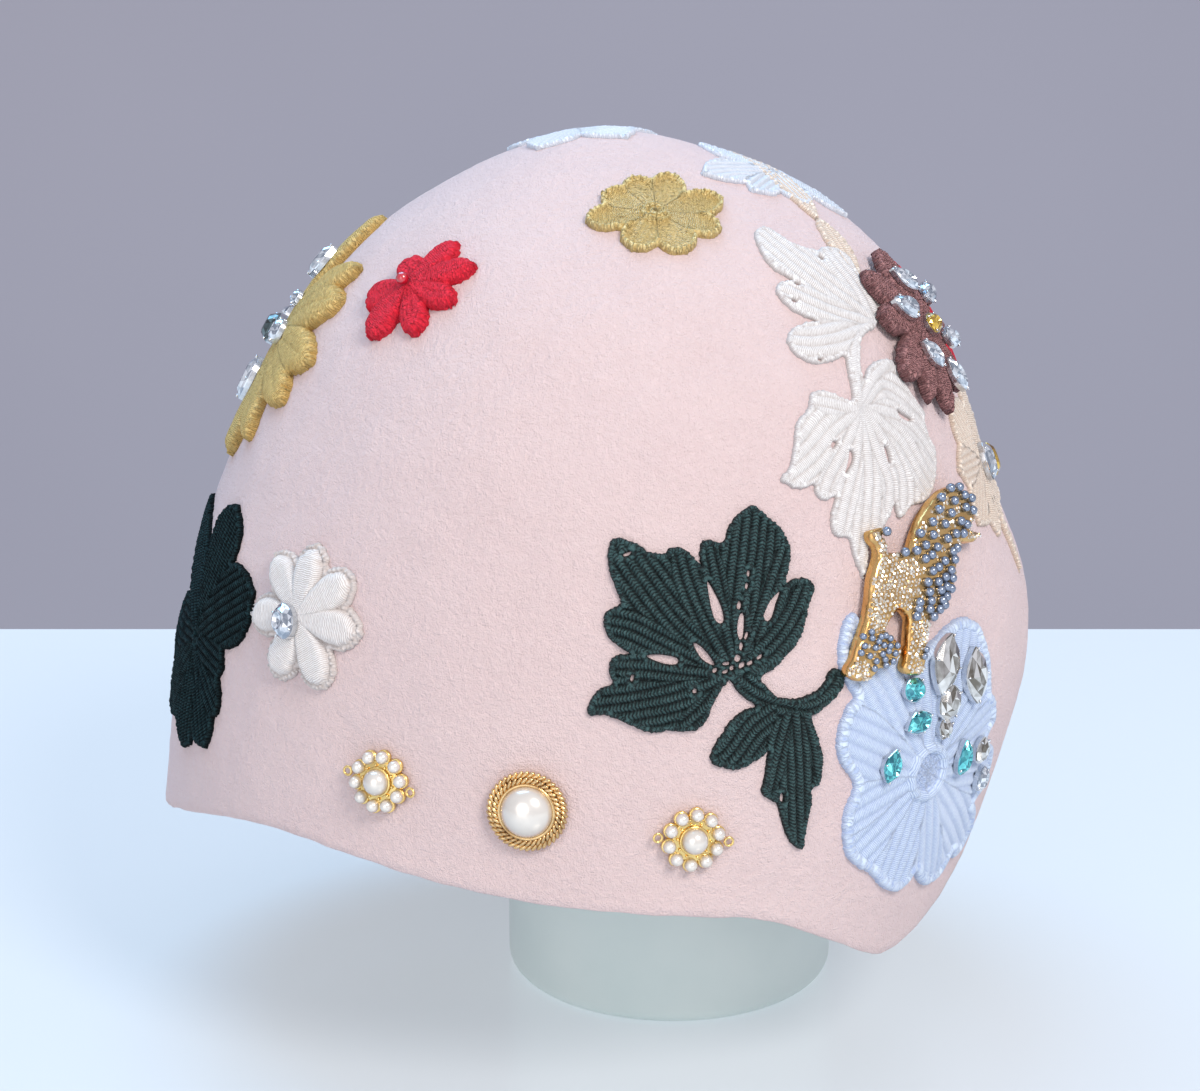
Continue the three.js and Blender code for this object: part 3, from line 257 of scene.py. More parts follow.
# %% The nap of felt
def make_nap_group():
    """Cloudy mottling, small pebbles of nap and single fibres."""
    group = new_group("nap", [("Size", 1.0), ("Fibre", 1.0)],
                      [("Mottle", "NodeSocketFloat"), ("Pebble", "NodeSocketFloat"),
                       ("Height", "NodeSocketFloat")])
    start = add(group, "NodeGroupInput")
    end = add(group, "NodeGroupOutput")
    place = add(group, "ShaderNodeTexCoord").outputs["Object"]
    sized = add(group, "ShaderNodeVectorMath", {"operation": "SCALE"}, i0=place)
    group.links.new(start.outputs["Size"], sized.inputs["Scale"])
    cloud = noise(group, Vector=sized, Scale=34.0, Detail=3.0, Roughness=0.55)
    pebble = noise(group, Vector=sized, Scale=620.0, Detail=2.0, Roughness=0.6, Distortion=0.2)
    strand = noise(group, Vector=sized, Scale=2600.0, Detail=2.0, Roughness=0.7)
    fibre = math_node(group, "MULTIPLY", strand, start.outputs["Fibre"])
    height = math_node(group, "ADD", pebble, fibre)
    plug(group, cloud, end.inputs["Mottle"])
    plug(group, pebble, end.inputs["Pebble"])
    plug(group, height, end.inputs["Height"])
    return group


nap = make_nap_group()


# %% Rows of thread
def make_thread_group():
    """Lines of thread across the stitches' own map: u runs along the row in millimetres, v across it."""
    group = new_group("thread_rows", [("Pitch", 0.5), ("Slant", 0.5), ("Ragged", 0.3)],
                      [("Line", "NodeSocketFloat"), ("Strand", "NodeSocketFloat"),
                       ("Height", "NodeSocketFloat")])
    start = add(group, "NodeGroupInput")
    end = add(group, "NodeGroupOutput")
    stitches = add(group, "ShaderNodeUVMap", {"uv_map": "stitches"}).outputs[0]
    parts = add(group, "ShaderNodeSeparateXYZ", None, i0=stitches)
    place = add(group, "ShaderNodeTexCoord").outputs["Object"]
    wobble = noise(group, Vector=place, Scale=700.0, Detail=2.0)
    zigzag = math_node(group, "PINGPONG", parts.outputs[1], 1.0)
    slanted = math_node(group, "MULTIPLY", zigzag, start.outputs["Slant"])
    ragged = math_node(group, "MULTIPLY", wobble, start.outputs["Ragged"])
    along = math_node(group, "ADD", math_node(group, "ADD", parts.outputs[0], slanted), ragged)
    steps = math_node(group, "DIVIDE", along, start.outputs["Pitch"])
    wave = math_node(group, "PINGPONG", steps, 0.5)
    line = spread(group, wave, 0.0, 0.5)
    line.interpolation_type = "SMOOTHSTEP"
    whole = math_node(group, "FLOOR", steps)
    tint = add(group, "ShaderNodeTexWhiteNoise", {"noise_dimensions": "1D"}, W=whole)
    fluff = noise(group, Vector=place, Scale=3500.0, Detail=2.0)
    height = math_node(group, "ADD", line, math_node(group, "MULTIPLY", fluff, 0.5))
    plug(group, line, end.inputs["Line"])
    plug(group, tint.outputs["Value"], end.inputs["Strand"])
    plug(group, height, end.inputs["Height"])
    return group


thread_rows = make_thread_group()


def use_group(tree, group, **values):
    node = tree.nodes.new("ShaderNodeGroup")
    node.node_tree = group
    constants(node, **values)
    return node


print("groups:", nap.name, thread_rows.name)

# %% [markdown]
# ## The felt
# The hat is one piece of wool felt, steamed over a block and cut by scissors at the rim. The CAD shell
# has the right form in flat facets. A copy is merged, its triangles are paired into quads, its cut
# edge is creased, and Subdivision Surface makes it smooth. The real felt is never quite even, so
# two clouds of noise move it in and out, by up to a millimetre in all.

# %% Copy and smooth the shell
def felt_copy():
    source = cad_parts["hat_shell"]
    piece = placed("felt_hat", source.data.copy())
    edit_all(piece)
    bpy.ops.mesh.remove_doubles(threshold=0.00001)
    bpy.ops.mesh.normals_make_consistent(inside=False)
    bpy.ops.mesh.tris_convert_to_quads(face_threshold=math.radians(60), shape_threshold=math.radians(60))
    bpy.ops.mesh.select_mode(type="EDGE")
    bpy.ops.mesh.select_all(action="DESELECT")
    bpy.ops.mesh.edges_select_sharp(sharpness=math.radians(55))
    bpy.ops.transform.edge_crease(value=0.92)
    bpy.ops.object.mode_set(mode="OBJECT")
    bpy.ops.object.shade_smooth()
    if piece.data.has_custom_normals:
        bpy.ops.mesh.customdata_custom_splitnormals_clear()
    rounding = piece.modifiers.new("rounding", "SUBSURF")
    rounding.levels = rounding.render_levels = 3
    bpy.ops.object.modifier_apply(modifier="rounding")
    return piece


felt_hat = felt_copy()


def unevenness(piece, size, depth, name):
    """Moves a surface in and out by soft noise."""
    only(piece)
    clouds = bpy.data.textures.new(name, "CLOUDS")
    clouds.noise_scale = size
    clouds.noise_depth = 2
    moved = piece.modifiers.new(name, "DISPLACE")
    moved.texture = clouds
    moved.texture_coords = "LOCAL"
    moved.strength = depth
    moved.mid_level = 0.5
    bpy.ops.object.modifier_apply(modifier=name)


unevenness(felt_hat, 0.028, 0.0016, "soft_waves")
unevenness(felt_hat, 0.006, 0.0005, "nap_waves")
smooth(felt_hat, 60)
print("felt:", count(felt_hat), "triangles")

# %% Felt material
felt_material, tree, shader, place = new_material("felt_wool")
nap_node = use_group(tree, nap, Size=1.0, Fibre=0.9)
pink = blend(tree, spread(tree, nap_node.outputs["Mottle"], 0.3, 0.7), colour(0.84, 0.645, 0.625),
             colour(0.88, 0.685, 0.66))
speckled = blend(tree, spread(tree, nap_node.outputs["Pebble"], 0.38, 0.62, 0.0, 0.3), pink,
                 colour(0.90, 0.72, 0.70))
plug(tree, speckled, shader.inputs["Base Color"])
plug(tree, spread(tree, nap_node.outputs["Pebble"], 0.3, 0.7, 0.82, 0.98), shader.inputs["Roughness"])
constants(shader, Specular_IOR_Level=0.25, Sheen_Weight=0.35, Sheen_Roughness=0.45,
          Sheen_Tint=colour(0.94, 0.90, 1.0))
plug(tree, bump(tree, nap_node.outputs["Height"], 0.8, 0.0012), shader.inputs["Normal"])
wear(felt_hat, felt_material, "felt", "hat_shell")

# %% [markdown]
# ## Laying a flat trim on the felt
# An embroidered trim is made flat and then stitched to the round hat. A `FeltPatch` is the patch of
# felt about one spot: it walks outwards over the felt in small steps, along many headings, and notes
# where each step lands. Any flat drawing in millimetres can then be laid on the felt, and a point seen
# in the picture can be turned back into flat millimetres.

# %% Walking over the felt
HAT_MIDDLE = -0.018
RIM_CLEARANCE = 0.024
HAT_HEIGHT = 0.196
WALK_STEP = 1.5
WALK_START = 0.25
CAMERA_TO_HAT = 0.65
MOST_GRAZING = -0.35
UNDERSIDE = 0.25
VEIN_WIDTH = 0.26


def surface_of(piece):
    """A search tree of a piece's faces."""
    return BVHTree.FromPolygons([v.co.copy() for v in piece.data.vertices],
                                [tuple(face.vertices) for face in piece.data.polygons])


felt_tree = surface_of(felt_hat)


class FeltPatch:
    """The felt about one spot, as a flat disc of millimetres."""

    HEADINGS = 72

    def __init__(self, azimuth, rise, reach):
        angle = math.radians(azimuth)
        outward = Vector((math.cos(angle), math.sin(angle), 0))
        start = Vector((HAT_MIDDLE, 0, RIM_CLEARANCE + rise * HAT_HEIGHT)) + outward * WALK_START
        point, normal, _, _ = felt_tree.ray_cast(start, -outward)
        across = Vector((-math.sin(angle), math.cos(angle), 0))
        across = (across - normal * across.dot(normal)).normalized()
        along = normal.cross(across)
        self.rings = int(math.ceil(reach / WALK_STEP)) + 2
        self.points = np.zeros((self.rings, self.HEADINGS, 3))
        self.normals = np.zeros((self.rings, self.HEADINGS, 3))
        for i in range(self.HEADINGS):
            turn = 2 * math.pi * i / self.HEADINGS
            heading = across * math.cos(turn) + along * math.sin(turn)
            here, up = point.copy(), normal.copy()
            for ring in range(self.rings):
                self.points[ring, i] = here
                self.normals[ring, i] = up
                here, up, _, _ = felt_tree.find_nearest(here + heading * WALK_STEP * MM)
                heading = (heading - up * heading.dot(up)).normalized()

    def on(self, flat, height=0.0):
        """Places of flat points, raised by height, all in millimetres, as metres in the frame."""
        flat = np.asarray(flat, float)
        reach = np.hypot(flat[:, 0], flat[:, 1]) / WALK_STEP
        ring = np.clip(np.floor(reach).astype(int), 0, self.rings - 2)
        out = (reach - ring)[:, None]
        turn = (np.arctan2(flat[:, 1], flat[:, 0]) / (2 * np.pi) * self.HEADINGS) % self.HEADINGS
        spoke = np.floor(turn).astype(int) % self.HEADINGS
        beside = (spoke + 1) % self.HEADINGS
        part = (turn - np.floor(turn))[:, None]

        def mixed(grid):
            near = grid[ring, spoke] * (1 - part) + grid[ring, beside] * part
            far = grid[ring + 1, spoke] * (1 - part) + grid[ring + 1, beside] * part
            return near * (1 - out) + far * out

        normal = mixed(self.normals)
        normal /= np.linalg.norm(normal, axis=1)[:, None]
        return mixed(self.points) + normal * np.asarray(height).reshape(-1, 1) * MM, normal

    def off(self, places):
        """Flat millimetres of points that lie on the felt."""
        places = np.asarray(places, float)
        gap = np.linalg.norm(self.points[None] - places[:, None, None], axis=3).reshape(len(places), -1)
        nearest = gap.argmin(axis=1)
        ring, spoke = nearest // self.HEADINGS, nearest % self.HEADINGS
        turn = 2 * np.pi * spoke / self.HEADINGS
        flat = np.stack([ring * WALK_STEP * np.cos(turn), ring * WALK_STEP * np.sin(turn)], axis=1)
        for _ in range(6):
            here, _ = self.on(flat)
            right = (self.on(flat + (0.2, 0))[0] - here) / 0.2
            ahead = (self.on(flat + (0, 0.2))[0] - here) / 0.2
            miss = places - here
            a, b, c = (right * right).sum(1), (right * ahead).sum(1), (ahead * ahead).sum(1)
            d, e = (right * miss).sum(1), (ahead * miss).sum(1)
            spare = a * c - b * b
            flat = flat + np.stack([(c * d - b * e) / spare, (a * e - b * d) / spare], axis=1)
        return flat

    def seat(self, x, y, turn=0.0, height=0.0):
        """A matrix that sets a small rigid piece, modelled in millimetres about the origin, on a spot."""
        (point, step), (up, _) = self.on([(x, y), (x + 0.3, y)], 0.0)
        up = Vector(up)
        across = Vector(step - point)
        across = (across - up * across.dot(up)).normalized()
        across = Matrix.Rotation(math.radians(turn), 3, up) @ across
        axes = Matrix((across, up.cross(across), up)).transposed().to_4x4()
        return Matrix.Translation(Vector(point) + up * height * MM) @ axes @ Matrix.Scale(MM, 4)


def seen_on_felt(patch, window, picks, above=0.0):
    """Flat millimetres of points that were read off an enlarged part of the picture.

    window is that part's left and top pixel and its enlargement. The points lie `above` millimetres
    over the felt."""
    left, top, enlarged = window
    places = []
    for x, y in picks:
        line = sight_line(left + x / enlarged, top + y / enlarged)
        hit, up, _, _ = felt_tree.ray_cast(EYE, line)
        if hit is None:
            hit, up, _, _ = felt_tree.find_nearest(EYE + line * CAMERA_TO_HAT)
        facing = min(line.dot(up), MOST_GRAZING)
        places.append(hit + (line - up * line.dot(up)) * (above * MM / facing))
    return patch.off(places)


# %% [markdown]
# ## The embroiderer's drawing
# A trim's outline is a closed smooth line, or a row of lobes whose union is the outline. Each lobe has
# a spine, and the threads run across it. For every point of the drawing three things are worked out:
# how far it is from the edge, how far along its spine it lies, and how far to the side. The height of
# the stitching is then a short formula of these three.

# %% Curves, insides and distances
def flowing(points, pace=0.5, closed=True):
    """A smooth line through a few points, with a point every `pace` millimetres."""
    points = np.asarray(points, float)
    total = len(points)
    line = []
    spans = total if closed else total - 1
    for i in range(spans):
        if closed:
            a, b, c, d = (points[(i + k - 1) % total] for k in range(4))
        else:
            a, b, c, d = (points[min(max(i + k - 1, 0), total - 1)] for k in range(4))
        steps = max(1, int(round(np.linalg.norm(c - b) / pace)))
        for t in np.arange(steps) / steps:
            line.append(0.5 * (2 * b + (c - a) * t + (2 * a - 5 * b + 4 * c - d) * t * t
                               + (3 * b - a - 3 * c + d) * t ** 3))
    if not closed:
        line.append(points[-1])
    return np.array(line)


def inside(points, loop):
    """Which points lie inside a closed line."""
    x, y = points[:, 0][:, None], points[:, 1][:, None]
    ax, ay = loop[:, 0][None], loop[:, 1][None]
    bx, by = np.roll(loop[:, 0], -1)[None], np.roll(loop[:, 1], -1)[None]
    with np.errstate(divide="ignore", invalid="ignore"):
        crosses = ((ay > y) != (by > y)) & (x < (bx - ax) * (y - ay) / (by - ay) + ax)
    return crosses.sum(axis=1) % 2 == 1


def drawn(points, loops, holes):
    """Which points lie inside any of the loops and outside every hole."""
    found = np.zeros(len(points), bool)
    for loop in loops:
        found |= inside(points, loop)
    for hole in holes:
        found &= ~inside(points, hole)
    return found


def run_along(loop):
    """For each point of a closed line, the millimetres from its first point."""
    step = np.linalg.norm(np.roll(loop, -1, 0) - loop, axis=1)
    return np.concatenate([[0], np.cumsum(step)[:-1]])


def edge_finder(points):
    """A search tree of the points of an edge."""
    finder = kdtree.KDTree(len(points))
    for i, p in enumerate(points):
        finder.insert((p[0], p[1], 0), i)
    finder.balance()
    return finder


def fullness(share, belly, blunt=0.7):
    """How wide a lobe is along its length: 1 at its widest. A lower `blunt` rounds its tip."""
    return np.maximum(0.16, np.sin(np.pi * np.clip(share, 0, 1) ** belly) ** blunt)


class Lobe:
    """One lobe or petal: a straight or curved spine and the half width about it."""

    def __init__(self, spine, half, belly=1.3, blunt=0.7):
        self.spine = flowing(spine, 0.8, closed=False)
        self.half = half
        self.belly = belly
        self.blunt = blunt
        self.steps = np.linalg.norm(np.diff(self.spine, axis=0), axis=1)
        self.along = np.concatenate([[0], np.cumsum(self.steps)])
        self.length = self.along[-1]

    def field(self, points):
        """For each point: distance along the spine, and to its side, which is positive to the left."""
        a, b = self.spine[:-1], self.spine[1:]
        d = b - a
        t = ((points[:, None] - a[None]) * d[None]).sum(2) / (d * d).sum(1)[None]
        t[:, 1:-1] = np.clip(t[:, 1:-1], 0, 1)
        t[:, 0] = np.minimum(t[:, 0], 1)
        t[:, -1] = np.maximum(t[:, -1], 0)
        foot = a[None] + d[None] * t[:, :, None]
        gap = np.linalg.norm(points[:, None] - foot, axis=2)
        near = gap.argmin(axis=1)
        rows = np.arange(len(points))
        off = points - a[near]
        side = (d[near, 0] * off[:, 1] - d[near, 1] * off[:, 0]) / self.steps[near]
        return self.along[near] + t[rows, near] * self.steps[near], side

    def outline(self, pace=0.5):
        steps = max(8, int(self.length / pace))
        share = 0.5 - 0.5 * np.cos(np.linspace(0, np.pi, steps))
        wide = self.half * fullness(share, self.belly, self.blunt)
        place = np.stack([np.interp(share * self.length, self.along, self.spine[:, k]) for k in (0, 1)], 1)
        ahead = np.gradient(place, axis=0)
        ahead /= np.linalg.norm(ahead, axis=1)[:, None]
        aside = np.stack([-ahead[:, 1], ahead[:, 0]], 1) * wide[:, None]
        tip = place[-1] + ahead[-1] * self.half * 0.08
        return np.vstack([place - aside, tip[None], (place + aside)[::-1]])


def lobes_of(rows, size, blunt=0.7):
    """Lobes from a table: root, aim in degrees, length and width as shares of the trim's size."""
    made = []
    for x, y, aim, length, width, belly in rows:
        root = np.array((x, y)) * size
        tip = root + np.array((math.cos(math.radians(aim)), math.sin(math.radians(aim)))) * length * size
        made.append(Lobe([root, (root + tip) / 2, tip], width * size / 2, belly, blunt))
    return made


print("one walk of the felt:", FeltPatch(-90, 0.5, 10).points.shape)

# %% [markdown]
# ## From drawing to stitched relief
# `stitched` scatters points evenly inside the outline, joins them into triangles, raises them by the
# height formula and lays the whole on the felt. The underside is closed just inside the felt, so each
# trim is one closed body. The map called `stitches` holds millimetres along and across each row, and
# the thread material reads it.

# %% The relief maker
LOOPS_APART, HOLES_FROM, LOBES_APART = 100, 1000, 7.3
SEAM_JUMP = 20
TRIANGLE_ROWS = 0.866


def scattered(loops, holes, pace, rng):
    """Evenly spaced points inside the drawing, with a little irregularity."""
    low = np.min([loop.min(0) for loop in loops], 0)
    high = np.max([loop.max(0) for loop in loops], 0)
    xs = np.arange(low[0], high[0], pace)
    ys = np.arange(low[1], high[1], pace * TRIANGLE_ROWS)
    grid = np.array([(x + (pace / 2 if j % 2 else 0), y) for j, y in enumerate(ys) for x in xs])
    grid += rng.uniform(-0.08, 0.08, grid.shape) * pace
    return grid[drawn(grid, loops, holes)]


def edge_points(loops, holes):
    """The points of the drawing's true edge, each with its distance along that edge."""
    points, runs = [], []
    for i, loop in enumerate(loops):
        keep = ~drawn(loop, loops[:i] + loops[i + 1:] + holes, [])
        points.append(loop[keep])
        runs.append(run_along(loop)[keep] + LOOPS_APART * i)
    for i, hole in enumerate(holes):
        keep = drawn(hole, loops, [])
        points.append(hole[keep])
        runs.append(run_along(hole)[keep] + HOLES_FROM + LOOPS_APART * i)
    return np.vstack(points), np.concatenate(runs)


def stitched(name, patch, loops, holes, lobes, relief, pace=0.4, seed=1, lift=0.0, border=1.2, ragged=0.1,
             rim=0.35):
    """A trim as one closed relief, laid on the felt.

    relief gets the edge distance, the share across the owning lobe, millimetres along and aside, the
    lobe's number, the run of the edge and the flat points, and gives the height in millimetres."""
    rng = np.random.default_rng(seed)

    def frayed(loop):
        turn = np.roll(loop, -1, 0) - np.roll(loop, 1, 0)
        turn /= np.linalg.norm(turn, axis=1)[:, None] + 1e-9
        return loop + np.stack([turn[:, 1], -turn[:, 0]], 1) * rng.normal(0, ragged, len(loop))[:, None]

    loops = [frayed(loop) for loop in loops]
    inner = scattered(loops, holes, pace, rng)
    rims, runs = edge_points(loops, holes)
    tree = edge_finder(rims)

    def to_edge(points):
        found = [tree.find((p[0], p[1], 0)) for p in points]
        return np.array([f[2] for f in found]), runs[[f[1] for f in found]]

    gap, _ = to_edge(inner)
    inner = inner[gap > pace * 0.55]
    everything, edges, start = [], [], 0
    for loop in loops + holes:
        everything.append(loop)
        edges += [(start + i, start + (i + 1) % len(loop)) for i in range(len(loop))]
        start += len(loop)
    everything = np.vstack(everything + [inner])
    points, _, faces, _, _, _ = delaunay_2d_cdt([Vector(p) for p in everything], edges, [], 0, 1e-5)
    flat = np.array([(p.x, p.y) for p in points])
    faces = np.array(faces)
    middle = flat[faces].mean(1)
    faces = faces[drawn(middle, loops, holes)]
    used, faces = np.unique(faces, return_inverse=True)
    flat, faces = flat[used], faces.reshape(-1, 3)

    gap, run = to_edge(flat)
    score = np.full(len(flat), -1e9)
    along, aside, owner = np.zeros(len(flat)), np.zeros(len(flat)), np.zeros(len(flat), int)
    for i, lobe in enumerate(lobes):
        far, side = lobe.field(flat)
        half = lobe.half * fullness(far / lobe.length, lobe.belly, lobe.blunt)
        past = np.maximum(0, np.maximum(-far, far - lobe.length)) / lobe.half
        own = 1 - np.abs(side) / half - past
        better = own > score
        score[better], along[better], aside[better] = own[better], far[better], side[better]
        owner[better] = i
    height = relief(gap, score, along, aside, owner, run, flat)
    height = np.where(gap < 1e-3, np.minimum(height, rim), height)

    top, _ = patch.on(flat, height + lift)
    low, _ = patch.on(flat, np.full(len(flat), lift - UNDERSIDE))
    total = len(flat)
    sides = {}
    for a, b, c in faces:
        for edge in ((a, b), (b, c), (c, a)):
            if (edge[1], edge[0]) in sides:
                del sides[(edge[1], edge[0])]
            else:
                sides[edge] = True
    under = [(c + total, b + total, a + total) for a, b, c in faces]
    walls = [(b, a, a + total, b + total) for a, b in sides]
    mesh = bpy.data.meshes.new(name)
    mesh.from_pydata([tuple(p) for p in np.vstack([top, low])], [],
                     [tuple(f) for f in faces] + under + walls)
    piece = placed(name, mesh)

    # rise is the relief's height as a share. The thread material uses it to paint shade into the low parts.
    rise = mesh.attributes.new("rise", "FLOAT", "POINT")
    share = np.clip((height - height.min()) / (np.percentile(height, 98) - height.min() + 1e-6), 0, 1)
    rise.data.foreach_set("value", np.r_[share, np.zeros(total)].astype(np.float32))
    stitches = mesh.uv_layers.new(name="stitches")
    at = np.zeros(len(mesh.loops), int)
    mesh.loops.foreach_get("vertex_index", at)
    at = at % total
    first = np.zeros(len(mesh.polygons), int)
    sizes = np.zeros(len(mesh.polygons), int)
    mesh.polygons.foreach_get("loop_start", first)
    mesh.polygons.foreach_get("loop_total", sizes)
    face_of = np.repeat(np.arange(len(first)), sizes)
    on_border = (np.add.reduceat(gap[at], first) / sizes < border)[face_of]
    head_run = run[at[first]][face_of]
    safe_run = np.where(np.abs(run[at] - head_run) > SEAM_JUMP, head_run, run[at])
    u = np.where(on_border, safe_run, along[at] + owner[at] * LOBES_APART)
    v = np.where(on_border, gap[at] * 0.5, aside[at])
    stitches.data.foreach_set("uv", np.stack([u, v], 1).ravel())
    edit_all(piece)
    bpy.ops.mesh.normals_make_consistent(inside=False)
    bpy.ops.mesh.dissolve_degenerate(threshold=0.000001)
    bpy.ops.object.mode_set(mode="OBJECT")
    bpy.ops.object.shade_smooth()
    return piece


def cord(gap, half, high):
    """A rounded cord along the edge, `half` wide to each side of its middle."""
    return high * np.sqrt(np.clip(1 - ((gap - half) / half) ** 2, 0, 1))


def thread_material(name, tone, deep, pitch=0.5, slant=0.5, depth=0.7, rough=0.62, sheen=0.3, metal=0.0,
                    painted_hollow_shade=0.6, wool=0.0, gloss=0.5):
    """Embroidery thread: painted shade makes the hollows between the threads and between the rows darker
    than the ridges.

    wool adds the loose curls of a fluffy yarn, with painted shade in the low parts of the curls."""
    material, tree, shader, place = new_material(name)
    rows = use_group(tree, thread_rows, Pitch=pitch, Slant=slant, Ragged=pitch * 0.5)
    fuzz = use_group(tree, nap, Size=2.2, Fibre=0.6)
    # Painted shade: between the threads the colour runs from tone down to deep, where the bump dips.
    lit = spread(tree, rows.outputs["Line"], 0.05, 0.75)
    body = blend(tree, lit, colour(*deep), colour(*tone))
    # The same deep colour also darkens some whole threads at random, as real thread tone varies.
    varied = blend(tree, spread(tree, rows.outputs["Strand"], 0, 1, 0.0, 0.22), body, colour(*deep))
    worn = blend(tree, spread(tree, fuzz.outputs["Pebble"], 0.4, 0.7, 0.0, 0.25), varied,
                 colour(*[min(1, c * 1.25 + 0.01) for c in tone]))
    curls = noise(tree, Vector=place, Scale=1100.0, Detail=3.0, Distortion=1.5)
    rise = add(tree, "ShaderNodeAttribute", {"attribute_name": "rise"}).outputs["Fac"]
    # Painted shade: the low parts of the relief, where rise is small, are painted towards deep.
    shaded = blend(tree, spread(tree, rise, 0.25, 0.8, painted_hollow_shade, 0.0), worn, colour(*deep))
    # Painted shade: where the curls are low, the colour is painted towards deep, as much as wool asks.
    shaded = blend(tree, spread(tree, curls, 0.3, 0.55, wool * 0.7, 0.0), shaded, colour(*deep))
    plug(tree, shaded, shader.inputs["Base Color"])
    dull = min(1, rough + 0.2)
    plug(tree, spread(tree, rows.outputs["Line"], 0, 1, dull, rough), shader.inputs["Roughness"])
    constants(shader, Metallic=metal, Specular_IOR_Level=gloss, Sheen_Weight=sheen, Sheen_Roughness=0.35,
              Sheen_Tint=colour(*[min(1, c * 1.4 + 0.05) for c in tone]))
    woolly = bump(tree, curls, wool, 0.002)
    plug(tree, bump(tree, rows.outputs["Height"], depth, 0.00025, woolly), shader.inputs["Normal"])
    return material


# %% [markdown]
# ## The dark green leaf spray
# A large leaf of machine lace: rows of thread run from the stem to the tips, a satin cord binds the
# edge, and slits show the felt. It was read off the picture: its outline, its slits and the line of
# each vein.

# %% Green spray, read off the picture
GREEN_WINDOW = (575, 490, 4.126)
GREEN_OUTLINE = [
    (635, 785), (600, 830), (565, 892), (548, 940), (512, 982), (450, 997), (385, 992), (325, 1002),
    (258, 985), (198, 955), (140, 932), (92, 928), (58, 930), (50, 905), (64, 868), (98, 822), (155, 797),
    (138, 748), (146, 702), (178, 680), (222, 674), (172, 640), (134, 600), (116, 545), (130, 502),
    (186, 466), (165, 400), (144, 340), (134, 280), (142, 225), (165, 198), (212, 205), (270, 230),
    (305, 255), (365, 262), (385, 245), (422, 234), (462, 252), (500, 290), (518, 312), (510, 250),
    (522, 215), (552, 207), (610, 215), (624, 172), (652, 120), (700, 80), (740, 66), (790, 108),
    (832, 146), (866, 186), (882, 232), (886, 285), (868, 378), (900, 368), (940, 362), (975, 380),
    (984, 412), (966, 462), (952, 520), (938, 582), (908, 640), (860, 692), (820, 735), (765, 776),
    (800, 820), (835, 852), (882, 860), (932, 855), (990, 830), (1028, 790), (1040, 756), (1072, 735),
    (1102, 760), (1105, 802), (1088, 832), (1040, 882), (1000, 916), (972, 932), (986, 982), (1004, 1034),
    (1018, 1092), (1015, 1150), (1002, 1212), (972, 1232), (970, 1300), (955, 1362), (945, 1424),
    (930, 1480), (884, 1450), (860, 1402), (845, 1342), (826, 1292), (770, 1252), (778, 1182),
    (786, 1120), (796, 1074), (768, 1100), (710, 1136), (660, 1154), (608, 1146), (566, 1128),
    (556, 1100), (575, 1050), (606, 1000), (642, 950), (700, 906), (742, 890), (700, 860), (662, 822),
]
GREEN_SLITS = [
    [(545, 378), (558, 470), (575, 530), (597, 550), (613, 536), (604, 488), (578, 430)],
    [(842, 420), (802, 460), (776, 520), (792, 541), (811, 522), (826, 470)],
    [(296, 684), (350, 679), (410, 689), (426, 705), (408, 720), (350, 711)],
    [(488, 630), (530, 656), (574, 716), (556, 718), (516, 688)],
    [(684, 508), (696, 522), (692, 600), (678, 616), (668, 580), (674, 530)],
    [(674, 458), (684, 470), (678, 492), (666, 484)],
    [(706, 584), (714, 592), (704, 616), (696, 608)],
    [(682, 626), (692, 640), (684, 662), (676, 648)],
    [(666, 678), (682, 690), (672, 708), (656, 700)],
    [(676, 718), (694, 708), (698, 724), (678, 736)],
    [(708, 712), (728, 702), (730, 716), (712, 724)],
    [(748, 690), (768, 676), (768, 690), (752, 700)],
    [(610, 712), (634, 708), (634, 720), (610, 722)],
    [(608, 746), (628, 740), (626, 754), (608, 756)],
    [(568, 738), (584, 734), (582, 750), (568, 752)],
    [(638, 728), (652, 724), (652, 740), (640, 742)],
    [(200, 266), (230, 254), (226, 266), (204, 274)],
    [(232, 764), (243, 764), (238, 788), (228, 786)],
    [(486, 822), (500, 820), (500, 836), (486, 836)],
    [(846, 1250), (856, 1256), (854, 1284), (842, 1276)],
    [(710, 332), (720, 336), (716, 356), (708, 352)],
    [(704, 384), (714, 388), (708, 408), (700, 404)],
]
GREEN_VEINS = [
    ([(680, 700), (690, 560), (716, 350), (745, 95)], 120),
    ([(650, 700), (620, 560), (575, 350), (548, 225)], 60),
    ([(620, 700), (540, 560), (470, 400), (428, 250)], 70),
    ([(600, 710), (430, 560), (280, 370), (175, 215)], 90),
    ([(580, 730), (400, 640), (240, 560), (130, 535)], 80),
    ([(560, 755), (430, 740), (280, 722), (150, 720)], 50),
    ([(580, 785), (430, 850), (250, 890), (60, 915)], 70),
    ([(600, 800), (540, 890), (430, 985)], 60),
    ([(700, 735), (810, 650), (905, 520), (960, 385)], 70),
    ([(710, 640), (790, 420), (850, 240)], 70),
    ([(650, 760), (745, 835), (850, 872), (960, 885), (1045, 835), (1090, 765)], 40),
    ([(830, 880), (720, 960), (630, 1080), (568, 1125)], 60),
    ([(905, 890), (920, 1100), (925, 1300), (928, 1475)], 50),
    ([(880, 900), (830, 1080), (790, 1250)], 35),
    ([(945, 900), (985, 1050), (1000, 1205)], 35),
]


def lace_relief(rows_apart=2.0, high=1.05, ridge=0.5, stitch=0.0):
    """Rows of thread in ridges with hollows between, inside a satin cord with a groove beside it."""
    def height(gap, score, along, aside, owner, run, flat):
        ridges = np.abs(np.cos(np.pi * aside / rows_apart)) ** 0.8
        zigzag = np.abs((aside / rows_apart + 0.5) % 1 - 0.5) * 2
        thread = np.abs(np.sin(np.pi * (along * 1.1 + zigzag * 0.9)))
        inner = high * 0.3 + ridge * ridges + stitch * thread * ridges
        loops = 1 + 0.1 * np.sin(run * 5.5)
        return np.maximum(cord(gap, 0.7, high) * loops, np.where(gap > 1.1, inner, 0.28))
    return height


